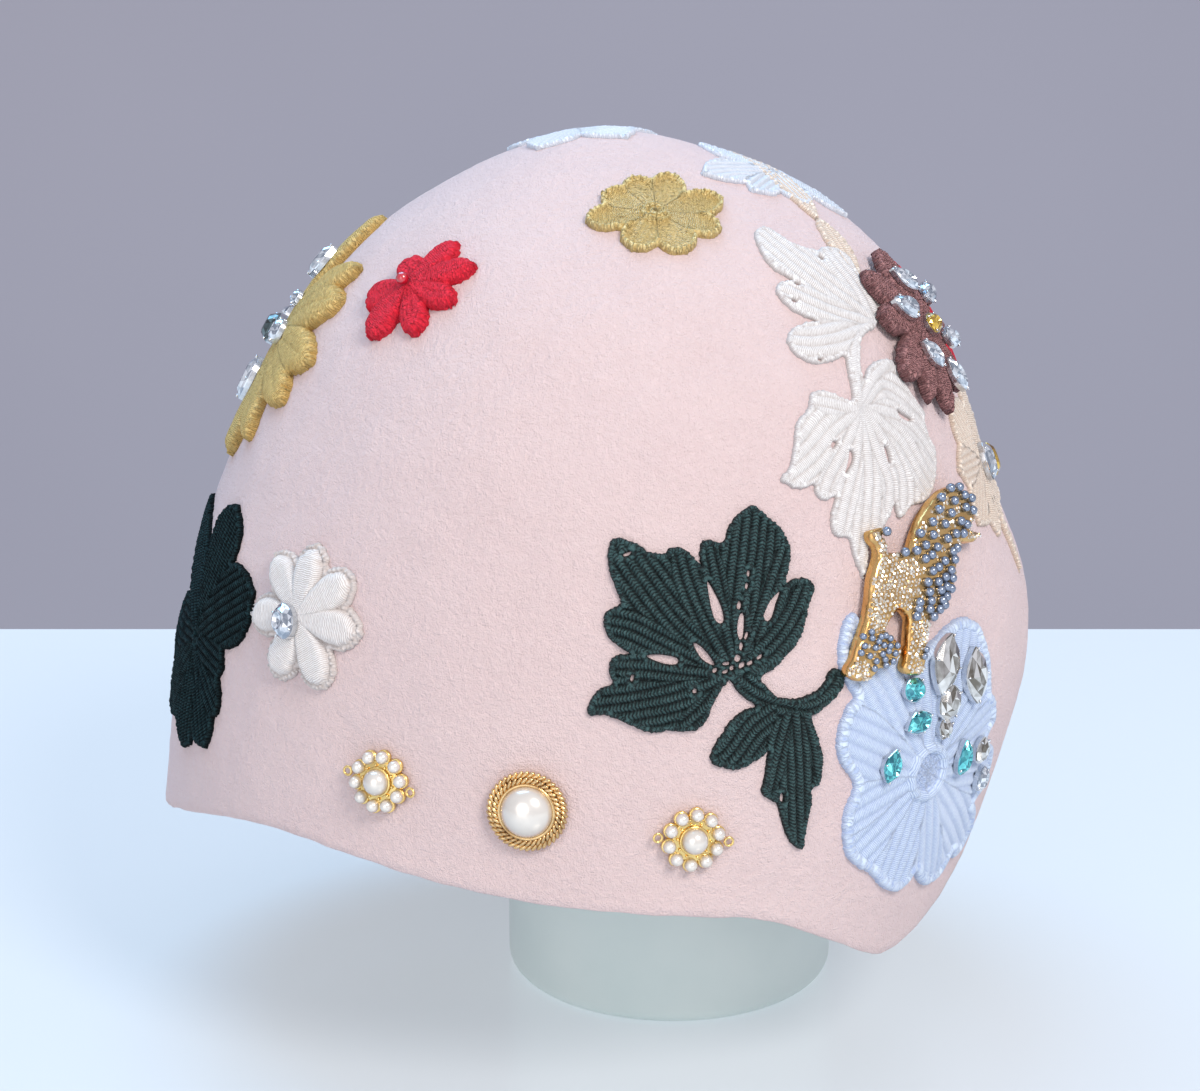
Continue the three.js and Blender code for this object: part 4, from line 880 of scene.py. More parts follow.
def traced_spray(name, place, window, outline, slits, veins, relief, **how):
    """A trim whose outline, slits and veins were read off the picture."""
    patch = FeltPatch(*place)
    edge = flowing(seen_on_felt(patch, window, outline))
    holes = [flowing(seen_on_felt(patch, window, slit), 0.3) for slit in slits]
    rows = [Lobe(seen_on_felt(patch, window, line), half / window[2] * VEIN_WIDTH, 0.9)
            for line, half in veins]
    return stitched(name, patch, [edge], holes, rows, relief, **how)


GREEN_LACE = (2.1, 1.25, 0.8, 0.22)
green_thread = thread_material("green_thread", (0.055, 0.125, 0.125), (0.001, 0.004, 0.005), 0.8, 0.45,
                               1.0, 0.5, 0.05, painted_hollow_shade=0.9, wool=0.7, gloss=0.4)
dark_thread = thread_material("dark_thread", (0.020, 0.062, 0.070), (0.001, 0.003, 0.004), 0.8, 0.45,
                              1.0, 0.7, 0.03, painted_hollow_shade=0.9, wool=0.9, gloss=0.15)
spray = traced_spray("green_spray", (-74, 0.441, 48), GREEN_WINDOW, GREEN_OUTLINE, GREEN_SLITS,
                     GREEN_VEINS, lace_relief(*GREEN_LACE), pace=0.34, seed=2)
wear(spray, green_thread, "green_thread", "green_leaf_spray")

# %% [markdown]
# ## The green leaf at the left
# A second leaf of the same lace turns out of sight round the side. Its lobes come from a short table:
# root, aim in degrees, length and width as shares of the leaf's size, and where it is widest.

# %% Left leaf
LEFT_LEAF_SIZE = 40
LEFT_LEAF_LOBES = [
    (0, 0.10, 83, 0.78, 0.46, 1.7), (0, 0.05, 36, 0.72, 0.52, 1.6), (0, 0, -6, 0.45, 0.30, 1.5),
    (0, -0.05, -30, 0.54, 0.30, 1.7), (0, -0.05, -52, 0.64, 0.32, 1.7), (0, -0.05, -84, 0.62, 0.42, 1.5),
    (0, 0, 232, 0.70, 0.44, 1.4), (0, 0, 184, 0.62, 0.44, 1.4), (0, 0.05, 133, 0.98, 0.34, 1.2),
]


def lobed(name, place, rows, size, relief, **how):
    """A trim whose outline is the union of a table's lobes."""
    patch = FeltPatch(*place, size * 1.25)
    lobes = lobes_of(rows, size, how.pop("blunt", 0.7))
    loops = [lobe.outline() for lobe in lobes]
    return stitched(name, patch, loops, [], lobes, relief(lobes), **how), patch


def lace_of(lobes):
    return lace_relief(*GREEN_LACE)


left_leaf, _ = lobed("left_leaf", (-160, 0.39), LEFT_LEAF_LOBES, LEFT_LEAF_SIZE, lace_of, pace=0.42, seed=3,
                     ragged=0.16, blunt=0.5)
wear(left_leaf, dark_thread, "green_thread", "green_leaf_left")

# %% [markdown]
# ## Padded flowers
# These petals are satin stitch over felt padding: the thread runs across each petal, and the petal
# swells like a small pillow. The daisy has a groove and a looped border round each pillow, the golden
# flower has a raised metallic cord round a hollow satin middle, and the brown one is woolly.

# %% Pillow formulas
def room_in(lobes, gap, score, owner):
    """Millimetres from the nearest edge of the petal, whether of the trim or of its neighbour."""
    half = np.array([lobe.half for lobe in lobes])[owner]
    return np.clip(np.minimum(gap, score * half), 0, None)


def pillow(room, radius):
    return np.sqrt(np.clip(1 - (1 - np.clip(room / radius, 0, 1)) ** 2, 0, 1))


def satin_petals(low, high, radius, furrow=0.0):
    def make(lobes):
        def height(gap, score, along, aside, owner, run, flat):
            room = room_in(lobes, gap, score, owner)
            middle = np.exp(-(aside / 0.55) ** 2) * furrow
            threads = 0.07 * np.abs(np.sin(np.pi * (along * 1.25 + np.abs(aside) * 0.35)))
            return low + (high - low) * pillow(room, radius) - middle + threads
        return height
    return make


def daisy_petals(lobes):
    def height(gap, score, along, aside, owner, run, flat):
        room = room_in(lobes, gap, score, owner)
        loops = 1.0 + 0.22 * np.sin(run * 4.2) * (gap < 1.0)
        border = cord(np.minimum(room, 1.3), 0.65, 1.15) * loops
        pad = 0.35 + 2.4 * pillow(room - 1.15, 2.1) + 0.06 * np.abs(np.sin(np.pi * along * 1.2))
        return np.where(room > 1.15, pad, np.maximum(border, 0.45))
    return height


def corded_petals(lobes):
    def height(gap, score, along, aside, owner, run, flat):
        room = room_in(lobes, gap, score, owner)
        twist = 1 + 0.12 * np.sin(run * 3.6 + along * 1.5)
        border = cord(np.minimum(room, 1.4), 0.7, 1.9) * twist
        dish = 0.6 + 0.4 * (1 - pillow(room - 1.3, 2.4)) + 0.05 * np.abs(np.sin(np.pi * along * 1.6))
        reach = np.hypot(flat[:, 0], flat[:, 1])
        swirl = 1.45 + 0.45 * np.cos(2 * np.pi * reach / 1.9 - np.arctan2(flat[:, 1], flat[:, 0]))
        petal = np.maximum(border, dish)
        return np.where(reach < 3.4, swirl, petal)
    return height


def woolly_petals(lobes):
    def height(gap, score, along, aside, owner, run, flat):
        room = room_in(lobes, gap, score, owner)
        rows = 0.3 * np.abs(np.cos(np.pi * aside / 1.5))
        tuft = 0.16 * np.sin(along * 5.1 + owner) * np.sin(aside * 6.3)
        return 0.55 + 1.5 * pillow(room, 1.5) + rows + tuft
    return height


# %% White daisy
DAISY_SIZE = 18
DAISY_PETALS = [
    (0, 0, 0, 1.00, 0.60, 1.5), (0, 0, 43, 0.98, 0.60, 1.5), (0, 0, 92, 0.94, 0.60, 1.5),
    (0, 0, 138, 1.00, 0.60, 1.5), (0, 0, 190, 1.00, 0.58, 1.5), (0, 0, 250, 0.92, 0.64, 1.5),
    (0, 0, 306, 1.00, 0.62, 1.5),
]
white_thread = thread_material("white_thread", (0.95, 0.91, 0.87), (0.60, 0.52, 0.48), 0.45, 0.15, 0.6,
                               0.7, 0.4, painted_hollow_shade=0.75)
daisy, daisy_patch = lobed("daisy", (-135, 0.472), DAISY_PETALS, DAISY_SIZE, daisy_petals, pace=0.3, seed=4,
                           ragged=0.16, lift=0.2, blunt=0.45)
wear(daisy, white_thread, "white_thread", "white_daisy")

# %% Mustard flower
MUSTARD_SIZE = 38
MUSTARD_PETALS = [
    (0, 0, 90, 1.02, 0.32, 1.4), (0, 0, 50, 1.02, 0.27, 1.5), (0, 0, 35, 0.98, 0.34, 1.6),
    (0, 0, 9, 0.98, 0.33, 1.6), (0, 0, -10, 0.95, 0.33, 1.5), (0, 0, -37, 0.90, 0.33, 1.5),
    (0, 0, -62, 0.88, 0.33, 1.5), (0, 0, -84, 0.86, 0.30, 1.5), (0, 0, -112, 0.86, 0.33, 1.5),
    (0, 0, -132, 0.88, 0.30, 1.5), (0, 0, -162, 0.88, 0.33, 1.5), (0, 0, 178, 0.86, 0.32, 1.5),
    (0, 0, 146, 0.92, 0.33, 1.5), (0, 0, 124, 0.92, 0.32, 1.5),
]
mustard_thread = thread_material("mustard_thread", (1.0, 0.69, 0.25), (0.48, 0.27, 0.06), 0.5, 0.2, 0.8,
                                 0.5, 0.3, wool=0.6)
mustard, mustard_patch = lobed("mustard", (179, 0.735), MUSTARD_PETALS, MUSTARD_SIZE,
                               satin_petals(0.5, 2.9, 3.0, 0.25), pace=0.42, seed=5, ragged=0.14, blunt=0.48)
wear(mustard, mustard_thread, "mustard_thread", "mustard_flower")

# %% Red flower
RED_SIZE = 16
RED_PETALS = [
    (0, 0, 68, 0.90, 0.47, 1.6), (0, 0, 32, 1.05, 0.43, 1.5), (0, 0, -4, 0.92, 0.43, 1.5),
    (0, 0, -51, 0.88, 0.46, 1.6), (0, 0, -108, 0.96, 0.54, 1.6), (0, 0, 209, 0.82, 0.54, 1.6),
    (0, 0, 128, 0.55, 0.48, 1.5),
]
red_thread = thread_material("red_thread", (1.0, 0.030, 0.065), (0.90, 0.016, 0.042), 0.5, 0.2, 0.9, 0.6,
                             0.15, painted_hollow_shade=0.3, wool=0.8, gloss=0.3)
red_flower, red_flower_patch = lobed("red_petals", (-136, 0.838), RED_PETALS, RED_SIZE,
                                     satin_petals(0.5, 2.9, 2.2, 0.1), pace=0.32, seed=6, ragged=0.2,
                                     blunt=0.42)
wear(red_flower, red_thread, "red_thread", "red_flower")

# %% Golden flower
GOLD_SIZE = 17
GOLD_PETALS = [
    (0, 0, 13, 1.08, 0.54, 1.5), (0, 0, 57, 0.92, 0.54, 1.5), (0, 0, 98, 0.78, 0.52, 1.5),
    (0, 0, 139, 0.80, 0.54, 1.5), (0, 0, 176, 0.96, 0.52, 1.5), (0, 0, 231, 0.80, 0.56, 1.5),
    (0, 0, 286, 0.82, 0.60, 1.5), (0, 0, 336, 0.92, 0.54, 1.5),
]
gold_thread = thread_material("gold_thread", (1.0, 0.82, 0.38), (0.66, 0.43, 0.12), 0.5, 0.3, 1.0, 0.26, 0.1,
                              metal=0.05, painted_hollow_shade=0.6, wool=0.6, gloss=1.0)
golden, _ = lobed("golden_petals", (-72, 0.923), GOLD_PETALS, GOLD_SIZE, corded_petals, pace=0.3,
                  seed=7, ragged=0.1, blunt=0.45)
wear(golden, gold_thread, "gold_thread", "gold_flower")

# %% Brown flower and the red patch behind it
BROWN_SIZE = 22
BROWN_PETALS = [
    (0, 0, 72, 0.95, 0.36, 1.4), (0, 0, 112, 0.82, 0.36, 1.4), (0, 0, 152, 0.60, 0.38, 1.4),
    (0, 0, 210, 0.84, 0.36, 1.4), (0, 0, 236, 0.90, 0.31, 1.4), (0, 0, 262, 1.00, 0.32, 1.4),
    (0, 0, 296, 0.95, 0.36, 1.4), (0, 0, 340, 0.70, 0.38, 1.4), (0, 0, 30, 0.70, 0.38, 1.4),
]
brown_thread = thread_material("brown_thread", (0.58, 0.28, 0.27), (0.14, 0.052, 0.055), 0.6, 0.6, 1.0,
                               0.8, 0.3, wool=0.9)
brown, brown_patch = lobed("brown_petals", (-22, 0.775), BROWN_PETALS, BROWN_SIZE, woolly_petals, pace=0.36,
                           seed=8, ragged=0.16, lift=1.9, blunt=0.48)
wear(brown, brown_thread, "brown_thread", "brown_flower")

RED_PATCH_SIZE = 17
RED_PATCH_LOBES = [(0, 0, 84, 1.0, 0.6, 1.0), (0, 0, 276, 1.0, 0.6, 1.0), (0, 0, 0, 0.9, 0.7, 1.1)]
scarlet_patch, _ = lobed("scarlet_patch", (-6, 0.765), RED_PATCH_LOBES, RED_PATCH_SIZE,
                         satin_petals(0.5, 1.3, 1.6), pace=0.45, seed=9, ragged=0.1)
wear(scarlet_patch, red_thread, "red_thread", "red_patch")

# %% [markdown]
# ## Lace on the crown and on the right side
# The silver-white motifs at the top glitter with metal thread, the ivory spray was read off the
# picture, and the beige leaf runs on round the side. All are lace: rows of thread in a bound edge.

# %% Lace motifs from lobes
SILVER_LOBES = [
    (0, 0, 140, 1.00, 0.46, 1.3), (0, 0, 168, 0.74, 0.42, 1.3), (0, 0, 222, 0.58, 0.44, 1.3),
    (0, 0, 284, 0.86, 0.42, 1.3), (0, 0, 328, 0.92, 0.42, 1.3), (0, 0, 20, 0.80, 0.48, 1.3),
    (0, 0, 80, 0.80, 0.50, 1.3),
]
CROWN_LOBES = [
    (0, 0, 20, 0.90, 0.7, 1.4), (0, 0, 90, 0.90, 0.7, 1.4), (0, 0, 160, 0.95, 0.7, 1.4),
    (0, 0, 232, 1.00, 0.7, 1.4), (0, 0, 305, 0.90, 0.7, 1.4),
]
BEIGE_LOBES = [
    (0, 0, 172, 0.52, 0.40, 1.3), (0, 0, 214, 0.60, 0.40, 1.4), (0, 0, 252, 0.56, 0.36, 1.4),
    (0, 0, 290, 0.50, 0.40, 1.4), (0.1, -0.3, 272, 0.62, 0.10, 0.8), (0, 0, 325, 0.60, 0.40, 1.3),
    (0, 0, 10, 0.70, 0.42, 1.3), (0, 0, 60, 0.70, 0.42, 1.3), (0, 0, 118, 0.60, 0.42, 1.3),
]
BEIGE_SIZE, SILVER_SIZE, CROWN_SIZE = 34, 25, 21
BEIGE_STRIP_LOBES = [(0, 0, 60, 1.1, 0.26, 0.9), (0, 0, 244, 0.6, 0.22, 0.9)]


def fine_lace(lobes):
    return lace_relief(1.8, 1.1, 0.6, 0.12)


silver_thread = thread_material("silver_thread", (0.94, 0.96, 1.0), (0.62, 0.66, 0.75), 0.5, 0.4, 0.8, 0.34,
                                0.3, metal=0.15)
beige_thread = thread_material("beige_thread", (0.96, 0.81, 0.68), (0.60, 0.45, 0.35), 0.55, 0.2, 0.8, 0.75,
                               0.4)
silver, _ = lobed("silver_lace", (-5, 0.945), SILVER_LOBES, SILVER_SIZE, fine_lace, pace=0.4, seed=10)
wear(silver, silver_thread, "silver_thread", "silver_leaf")
crown_lace, _ = lobed("crown_lace", (128, 0.991), CROWN_LOBES, CROWN_SIZE, fine_lace, pace=0.45, seed=11)
wear(crown_lace, silver_thread, "silver_thread", "white_crown_motif")
beige_leaf, beige_patch = lobed("beige_lace", (-13, 0.6), BEIGE_LOBES, BEIGE_SIZE, fine_lace, pace=0.42,
                                seed=12)
wear(beige_leaf, beige_thread, "beige_thread", "beige_leaf")
beige_strand, _ = lobed("beige_strand", (-20, 0.9), BEIGE_STRIP_LOBES, BEIGE_SIZE, fine_lace, pace=0.4,
                        seed=13)
wear(beige_strand, beige_thread, "beige_thread", "beige_strip")

# %% Ivory spray, read off the picture
IVORY_WINDOW = (740, 210, 4.681)
IVORY_OUTLINE = [
    (560, 622), (592, 572), (628, 556), (642, 505), (656, 462), (640, 430), (606, 412), (578, 368),
    (545, 310), (510, 240), (470, 204), (430, 185), (385, 182), (352, 198), (330, 192), (280, 180),
    (220, 155), (170, 120), (130, 95), (95, 88), (70, 105), (67, 135), (84, 180), (112, 232), (160, 286),
    (238, 332), (200, 336), (174, 350), (166, 380), (186, 422), (232, 466), (290, 500), (352, 524),
    (300, 532), (254, 550), (226, 580), (217, 612), (232, 652), (270, 690), (320, 716), (370, 723),
    (430, 710), (486, 690), (500, 760), (516, 840), (516, 893), (470, 880), (430, 860), (382, 848),
    (340, 854), (322, 880), (314, 932), (278, 970), (255, 1020), (250, 1080), (240, 1150), (228, 1202),
    (188, 1258), (202, 1278), (250, 1302), (302, 1302), (340, 1288), (346, 1320), (370, 1352),
    (402, 1360), (442, 1346), (430, 1392), (420, 1452), (430, 1512), (460, 1532), (502, 1538),
    (520, 1602), (550, 1682), (571, 1728), (586, 1680), (592, 1600), (602, 1520), (650, 1500),
    (690, 1440), (714, 1382), (730, 1432), (746, 1442), (770, 1416), (800, 1382), (850, 1372),
    (882, 1330), (896, 1290), (905, 1230), (906, 1170), (896, 1110), (870, 1060), (850, 992),
    (852, 960), (830, 920), (790, 862), (742, 792), (702, 712), (642, 704), (592, 740), (576, 790),
    (562, 770), (554, 700),
]
IVORY_SLITS = [
    [(506, 1130), (522, 1140), (520, 1180), (500, 1216), (486, 1232), (500, 1180)],
    [(724, 940), (760, 962), (790, 982), (780, 990), (742, 972)],
    [(664, 1110), (680, 1120), (694, 1180), (686, 1186), (672, 1150)],
    [(190, 322), (210, 334), (204, 342), (188, 332)],
    [(250, 348), (272, 352), (268, 360), (250, 356)],
    [(238, 424), (258, 430), (254, 438), (238, 434)],
    [(360, 700), (376, 702), (370, 712), (358, 708)],
    [(366, 226), (382, 236), (376, 246), (362, 236)],
    [(430, 1086), (446, 1092), (430, 1116), (420, 1110)],
]
IVORY_VEINS = [
    ([(590, 500), (430, 380), (260, 250), (85, 105)], 60),
    ([(590, 480), (530, 370), (450, 270), (390, 195)], 55),
    ([(570, 520), (440, 480), (300, 420), (175, 360)], 50),
    ([(560, 560), (450, 600), (330, 620), (225, 612)], 60),
    ([(540, 560), (525, 700), (540, 840), (545, 900)], 30),
    ([(530, 940), (430, 910), (330, 890)], 40),
    ([(530, 960), (430, 1040), (330, 1160), (200, 1265)], 50),
    ([(540, 980), (470, 1140), (410, 1250), (380, 1350)], 40),
    ([(550, 990), (530, 1180), (480, 1380), (450, 1520)], 45),
    ([(560, 990), (590, 1180), (590, 1350), (560, 1700)], 45),
    ([(575, 980), (640, 1150), (690, 1290), (680, 1440)], 45),
    ([(590, 970), (690, 1120), (750, 1260), (750, 1430)], 45),
    ([(600, 950), (740, 1080), (820, 1220), (880, 1320)], 50),
    ([(600, 930), (720, 960), (820, 1040), (900, 1160)], 45),
    ([(580, 900), (650, 820), (740, 860), (850, 970)], 50),
    ([(570, 880), (620, 780), (690, 720)], 45),
]


def ivory_relief(gap, score, along, aside, owner, run, flat):
    """Soft full rows inside a bound edge."""
    rows = np.abs(np.cos(np.pi * aside / 2.6)) ** 0.5
    return np.maximum(cord(gap, 0.65, 1.25), np.where(gap > 1.0, 0.6 + 0.75 * rows, 0.35))


ivory_thread = thread_material("ivory_thread", (0.83, 0.81, 0.79), (0.50, 0.45, 0.43), 0.45, 0.05, 0.45,
                               0.65, 0.3, painted_hollow_shade=0.7)
ivory_spray = traced_spray("ivory_spray", (-44.4, 0.713, 52), IVORY_WINDOW, IVORY_OUTLINE, IVORY_SLITS,
                           IVORY_VEINS, ivory_relief, pace=0.4, seed=14)
wear(ivory_spray, ivory_thread, "ivory_thread", "ivory_leaf_spray")

# %% Pale blue flower
BLUE_SIZE = 40
BLUE_RING = 5.9
BLUE_WINDOW = (825, 600, 5.058)
BLUE_SEEN = [
    (825, 450), (818, 300), (787, 169), (761, 117), (710, 88), (658, 94), (606, 130), (561, 175),
    (516, 220), (490, 252), (440, 275), (400, 290), (352, 262), (310, 262), (260, 230), (215, 180),
    (185, 120), (155, 72), (122, 66), (90, 111), (71, 175), (61, 259), (64, 336), (90, 401), (120, 460),
    (139, 491), (110, 530), (77, 601), (58, 672), (52, 723), (64, 801), (97, 862), (140, 938),
    (110, 1020), (86, 1100), (85, 1200), (105, 1295), (160, 1350), (215, 1380), (260, 1430),
    (300, 1462), (350, 1468), (400, 1430), (440, 1372), (455, 1410), (490, 1438), (540, 1410),
    (590, 1340), (625, 1270),
]
BLUE_UNSEEN = [
    (22, -31), (28, -30), (31, -25), (29, -19), (26.5, -16.5), (31, -15), (33, -10), (32, -4),
    (28, -0.5), (26, 1.5), (29, 5), (28, 11),
]
BLUE_LOBES = [
    (0, 0, 117, 1.15, 0.40, 1.4), (0, 0, 150, 0.84, 0.44, 1.4), (0, 0, 196, 0.74, 0.38, 1.4),
    (0, 0, 214, 0.76, 0.38, 1.5), (0, 0, 249, 0.80, 0.46, 1.5), (0, 0, 284, 0.88, 0.38, 1.5),
    (0, 0, 314, 0.98, 0.46, 1.5), (0, 0, 345, 0.85, 0.46, 1.5), (0, 0, 15, 0.76, 0.46, 1.5),
    (0, 0, 40, 0.84, 0.42, 1.5), (0, 0, 66, 0.98, 0.42, 1.5), (0, 0, 92, 0.80, 0.42, 1.5),
]


def blue_relief(gap, score, along, aside, owner, run, flat):
    """A wide satin border, soft ribs in each petal, and a raised ring round the netted middle."""
    reach = np.hypot(flat[:, 0], flat[:, 1])
    ribs = np.abs(np.cos(np.pi * aside / 3.0)) ** 0.7
    border = 1.55 * pillow(gap, 1.4) - 0.45 * np.clip(gap - 1.8, 0, 1)
    petal = np.where(gap < 2.6, border, 0.5 + 0.65 * ribs)
    ring = 2.0 * np.sqrt(np.clip(1 - ((reach - BLUE_RING) / 1.4) ** 2, 0, 1))
    slant, other = flat[:, 0] + flat[:, 1], flat[:, 0] - flat[:, 1]
    net = 0.25 + 0.5 * np.maximum(np.cos(np.pi * slant / 2) ** 6, np.cos(np.pi * other / 2) ** 6)
    return np.where(reach < BLUE_RING, np.maximum(ring, net), np.maximum(ring, petal))


def blue_petals():
    patch = FeltPatch(-43, 0.282, BLUE_SIZE * 1.25)
    seen = seen_on_felt(patch, BLUE_WINDOW, BLUE_SEEN)
    outline = flowing(np.vstack([seen, BLUE_UNSEEN]), 0.5)
    return stitched("blue_petals", patch, [outline], [], lobes_of(BLUE_LOBES, BLUE_SIZE), blue_relief,
                    pace=0.4, seed=15, border=2.6), patch


blue_thread = thread_material("blue_thread", (0.68, 0.78, 0.93), (0.38, 0.47, 0.70), 0.45, 0.1, 0.6, 0.5,
                              0.4)
blue_flower, blue_patch = blue_petals()
wear(blue_flower, blue_thread, "blue_thread", "pale_blue_flower")

# %% [markdown]
# ## Jewels
# Pearls, stones and gilt settings are each modelled once, in millimetres about the origin with their
# back on the ground plane, and copies are set on the trims. A copy's seat is found by walking over the
# felt. A stone lies at the height of the CAD solid that it stands for, or on the thread if that is lower.

# %% Setting copies
def copies(name, model, seats):
    """One object with a copy of the model at each seat."""
    mesh = model.data
    total = len(mesh.vertices)
    base = np.zeros(total * 3)
    mesh.vertices.foreach_get("co", base)
    base = np.c_[base.reshape(-1, 3), np.ones(total)]
    points = np.vstack([(base @ np.array(seat).T)[:, :3] for seat in seats])
    faces = [tuple(v + i * total for v in face.vertices)
             for i in range(len(seats)) for face in mesh.polygons]
    made = bpy.data.meshes.new(name)
    made.from_pydata([tuple(p) for p in points], [], faces)
    made.polygons.foreach_set("material_index", [f.material_index for f in mesh.polygons] * len(seats))
    made.polygons.foreach_set("use_smooth", [f.use_smooth for f in mesh.polygons] * len(seats))
    return placed(name, made)


def base_height(node, seat):
    """How high above the felt the back of a CAD solid lies, along the seat's own up, in millimetres."""
    home = seat.inverted()
    return min((home @ v.co).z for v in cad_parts[node].data.vertices)


def painted_reflection_values(piece, seed):
    """A random value for each facet, from which each facet is painted a different reflection, as if it
    mirrored a different part of a room.
    """
    rng = np.random.default_rng(seed)
    values = piece.data.attributes.new("facet", "FLOAT", "FACE")
    values.data.foreach_set("value", rng.random(len(piece.data.polygons)).astype(np.float32))
    return piece


def discard(piece):
    bpy.data.objects.remove(piece)


# %% Gilt, pearl and crystal finishes
def metal_material(name, tone, deep, rough=0.22, worn=0.5):
    material, tree, shader, place = new_material(name)
    cloud = noise(tree, Vector=place, Scale=240.0, Detail=4.0)
    fine = noise(tree, Vector=place, Scale=1500.0, Detail=2.0)
    stain = spread(tree, cloud, 0.45, 0.75, 0.0, worn)
    plug(tree, blend(tree, stain, colour(*tone), colour(*deep)), shader.inputs["Base Color"])
    plug(tree, spread(tree, fine, 0.3, 0.7, rough * 0.7, rough * 1.4), shader.inputs["Roughness"])
    constants(shader, Metallic=1.0)
    plug(tree, bump(tree, fine, 0.12, 0.0001), shader.inputs["Normal"])
    return material


def pearl_material(name, tone, painted_rim_shade, rough=0.22, metal=0.0):
    material, tree, shader, place = new_material(name)
    cloud = noise(tree, Vector=place, Scale=320.0, Detail=2.0)
    # Painted shade: each pearl is painted darker towards its rim, where it turns away from the eye.
    edge = tree.nodes.new("ShaderNodeLayerWeight")
    edge.inputs["Blend"].default_value = 0.45
    body = blend(tree, spread(tree, cloud, 0.35, 0.65), colour(*tone), colour(*[c * 0.93 for c in tone]))
    plug(tree, blend(tree, edge.outputs["Facing"], body, colour(*painted_rim_shade)), shader.inputs["Base Color"])
    plug(tree, spread(tree, cloud, 0.3, 0.7, rough, rough * 1.3), shader.inputs["Roughness"])
    constants(shader, Metallic=metal, Coat_Weight=1.0, Coat_Roughness=0.06, Coat_IOR=1.7)
    return material


def stone_material(name, light, dark, metal=0.9, rough=0.05):
    """Foil-backed glass: each facet is painted its own tone between the dark and light colours, a painted
    reflection of its own part of a room.
    """
    material, tree, shader, place = new_material(name)
    facet = add(tree, "ShaderNodeAttribute", {"attribute_name": "facet"}).outputs["Fac"]
    cloud = noise(tree, Vector=place, Scale=500.0, Detail=1.0)
    shine = math_node(tree, "ADD", facet, spread(tree, cloud, 0.3, 0.7, -0.15, 0.15))
    tone = blend(tree, spread(tree, shine, 0.15, 0.85), colour(*dark), colour(*light))
    plug(tree, tone, shader.inputs["Base Color"])
    plug(tree, spread(tree, facet, 0, 1, rough, rough * 2.5), shader.inputs["Roughness"])
    constants(shader, Metallic=metal, Coat_Weight=1.0, Coat_Roughness=0.03, Coat_IOR=1.6)
    return material


yellow_gilt = metal_material("yellow_gilt", (0.95, 0.70, 0.28), (0.60, 0.36, 0.10), 0.2)
antique_gilt = metal_material("antique_gilt", (0.80, 0.56, 0.28), (0.34, 0.19, 0.08), 0.24, 0.8)
silver_cup = metal_material("silver_cup", (0.75, 0.76, 0.78), (0.35, 0.36, 0.38), 0.2)
# The second colour of each pearl finish is its painted rim shade.
white_pearl = pearl_material("white_pearl", (0.88, 0.82, 0.74), (0.50, 0.41, 0.34), 0.2, 0.4)
grey_pearl = pearl_material("grey_pearl", (0.26, 0.32, 0.44), (0.03, 0.045, 0.08), 0.14, 0.6)
# Each stone's two colours are the ends of its painted reflections.
clear_stone = stone_material("clear_stone", (0.95, 0.97, 1.0), (0.30, 0.34, 0.40))
deep_stone = stone_material("deep_stone", (0.13, 0.20, 0.21), (0.01, 0.02, 0.02))
turquoise_stone = stone_material("turquoise_stone", (0.16, 0.78, 0.80), (0.01, 0.20, 0.26), 0.8)
smoke_stone = stone_material("smoke_stone", (0.90, 0.88, 0.84), (0.17, 0.145, 0.11))
amber_stone = stone_material("amber_stone", (0.95, 0.62, 0.08), (0.28, 0.13, 0.0), 0.8)

# %% [markdown]
# ## Cut stones
# A stone is a faceted glass crown over a foil-backed star, held in a metal cup by claws. It starts as a
# circle, which is stretched to an oval, drawn to points for a navette or to one point for a pear. The
# rings above it are extruded and turned by half a step, so that the crown gets kite facets. The star
# seen through the table is sunk into the top.

# %% One cut stone
STONE_SIDES, BROAD_SIDES = 14, 8
SMOKE_LONGER, SMOKE_WIDER = 1.15, 1.35


def girdle_shape(outline, x, y):
    """Moves a point of the unit circle to the stone's outline."""
    if outline == "navette":
        return x, y * (1 - 0.62 * abs(x) ** 2.2)
    if outline == "pear":
        return x, y * (1 - 0.42 * (0.5 + 0.5 * x) ** 1.6)
    return x, y


def cut_stone(outline, length, width, height, broad=False):
    """A stone in its cup: girdle at under half its height, a crown of kites, and a sunk star.

    A broad stone has few facets, each large, and no star."""
    sides = BROAD_SIDES if broad else STONE_SIDES
    select_nothing()
    bpy.ops.mesh.primitive_circle_add(vertices=sides, radius=1, fill_type="NGON")
    stone = bpy.context.object
    bpy.ops.object.mode_set(mode="EDIT")
    bpy.ops.mesh.select_mode(type="FACE")
    bpy.ops.mesh.select_all(action="SELECT")
    half_step = math.pi / sides
    rings = ((0.42, 1.0, 0), (0.16, 0.84, 1), (0.22, 0.76, 1), (0.05, 0.78, 1))
    star = ((-0.16, 0.55), (-0.10, 0.10))
    if broad:
        rings, star = ((0.42, 1.0, 0), (0.25, 0.74, 0), (0.18, 0.5, 0)), ()
    for rise, grow, turn in rings:
        bpy.ops.mesh.extrude_region_move(TRANSFORM_OT_translate={"value": (0, 0, rise)})
        bpy.ops.transform.resize(value=(grow, grow, 1))
        if turn:
            bpy.ops.transform.rotate(value=half_step, orient_axis="Z", center_override=(0, 0, 0))
    for rise, grow in star:
        bpy.ops.mesh.extrude_region_move(TRANSFORM_OT_translate={"value": (0, 0, rise)})
        bpy.ops.transform.resize(value=(grow, grow, 1))
        bpy.ops.transform.rotate(value=half_step, orient_axis="Z", center_override=(0, 0, 0))
    bpy.ops.mesh.select_all(action="SELECT")
    bpy.ops.mesh.quads_convert_to_tris(quad_method="FIXED")
    bpy.ops.mesh.normals_make_consistent(inside=False)
    bpy.ops.object.mode_set(mode="OBJECT")
    for v in stone.data.vertices:
        x, y = girdle_shape(outline, v.co.x, v.co.y)
        v.co = (x * length / 2, y * width / 2, v.co.z * height / 0.85)
    return stone


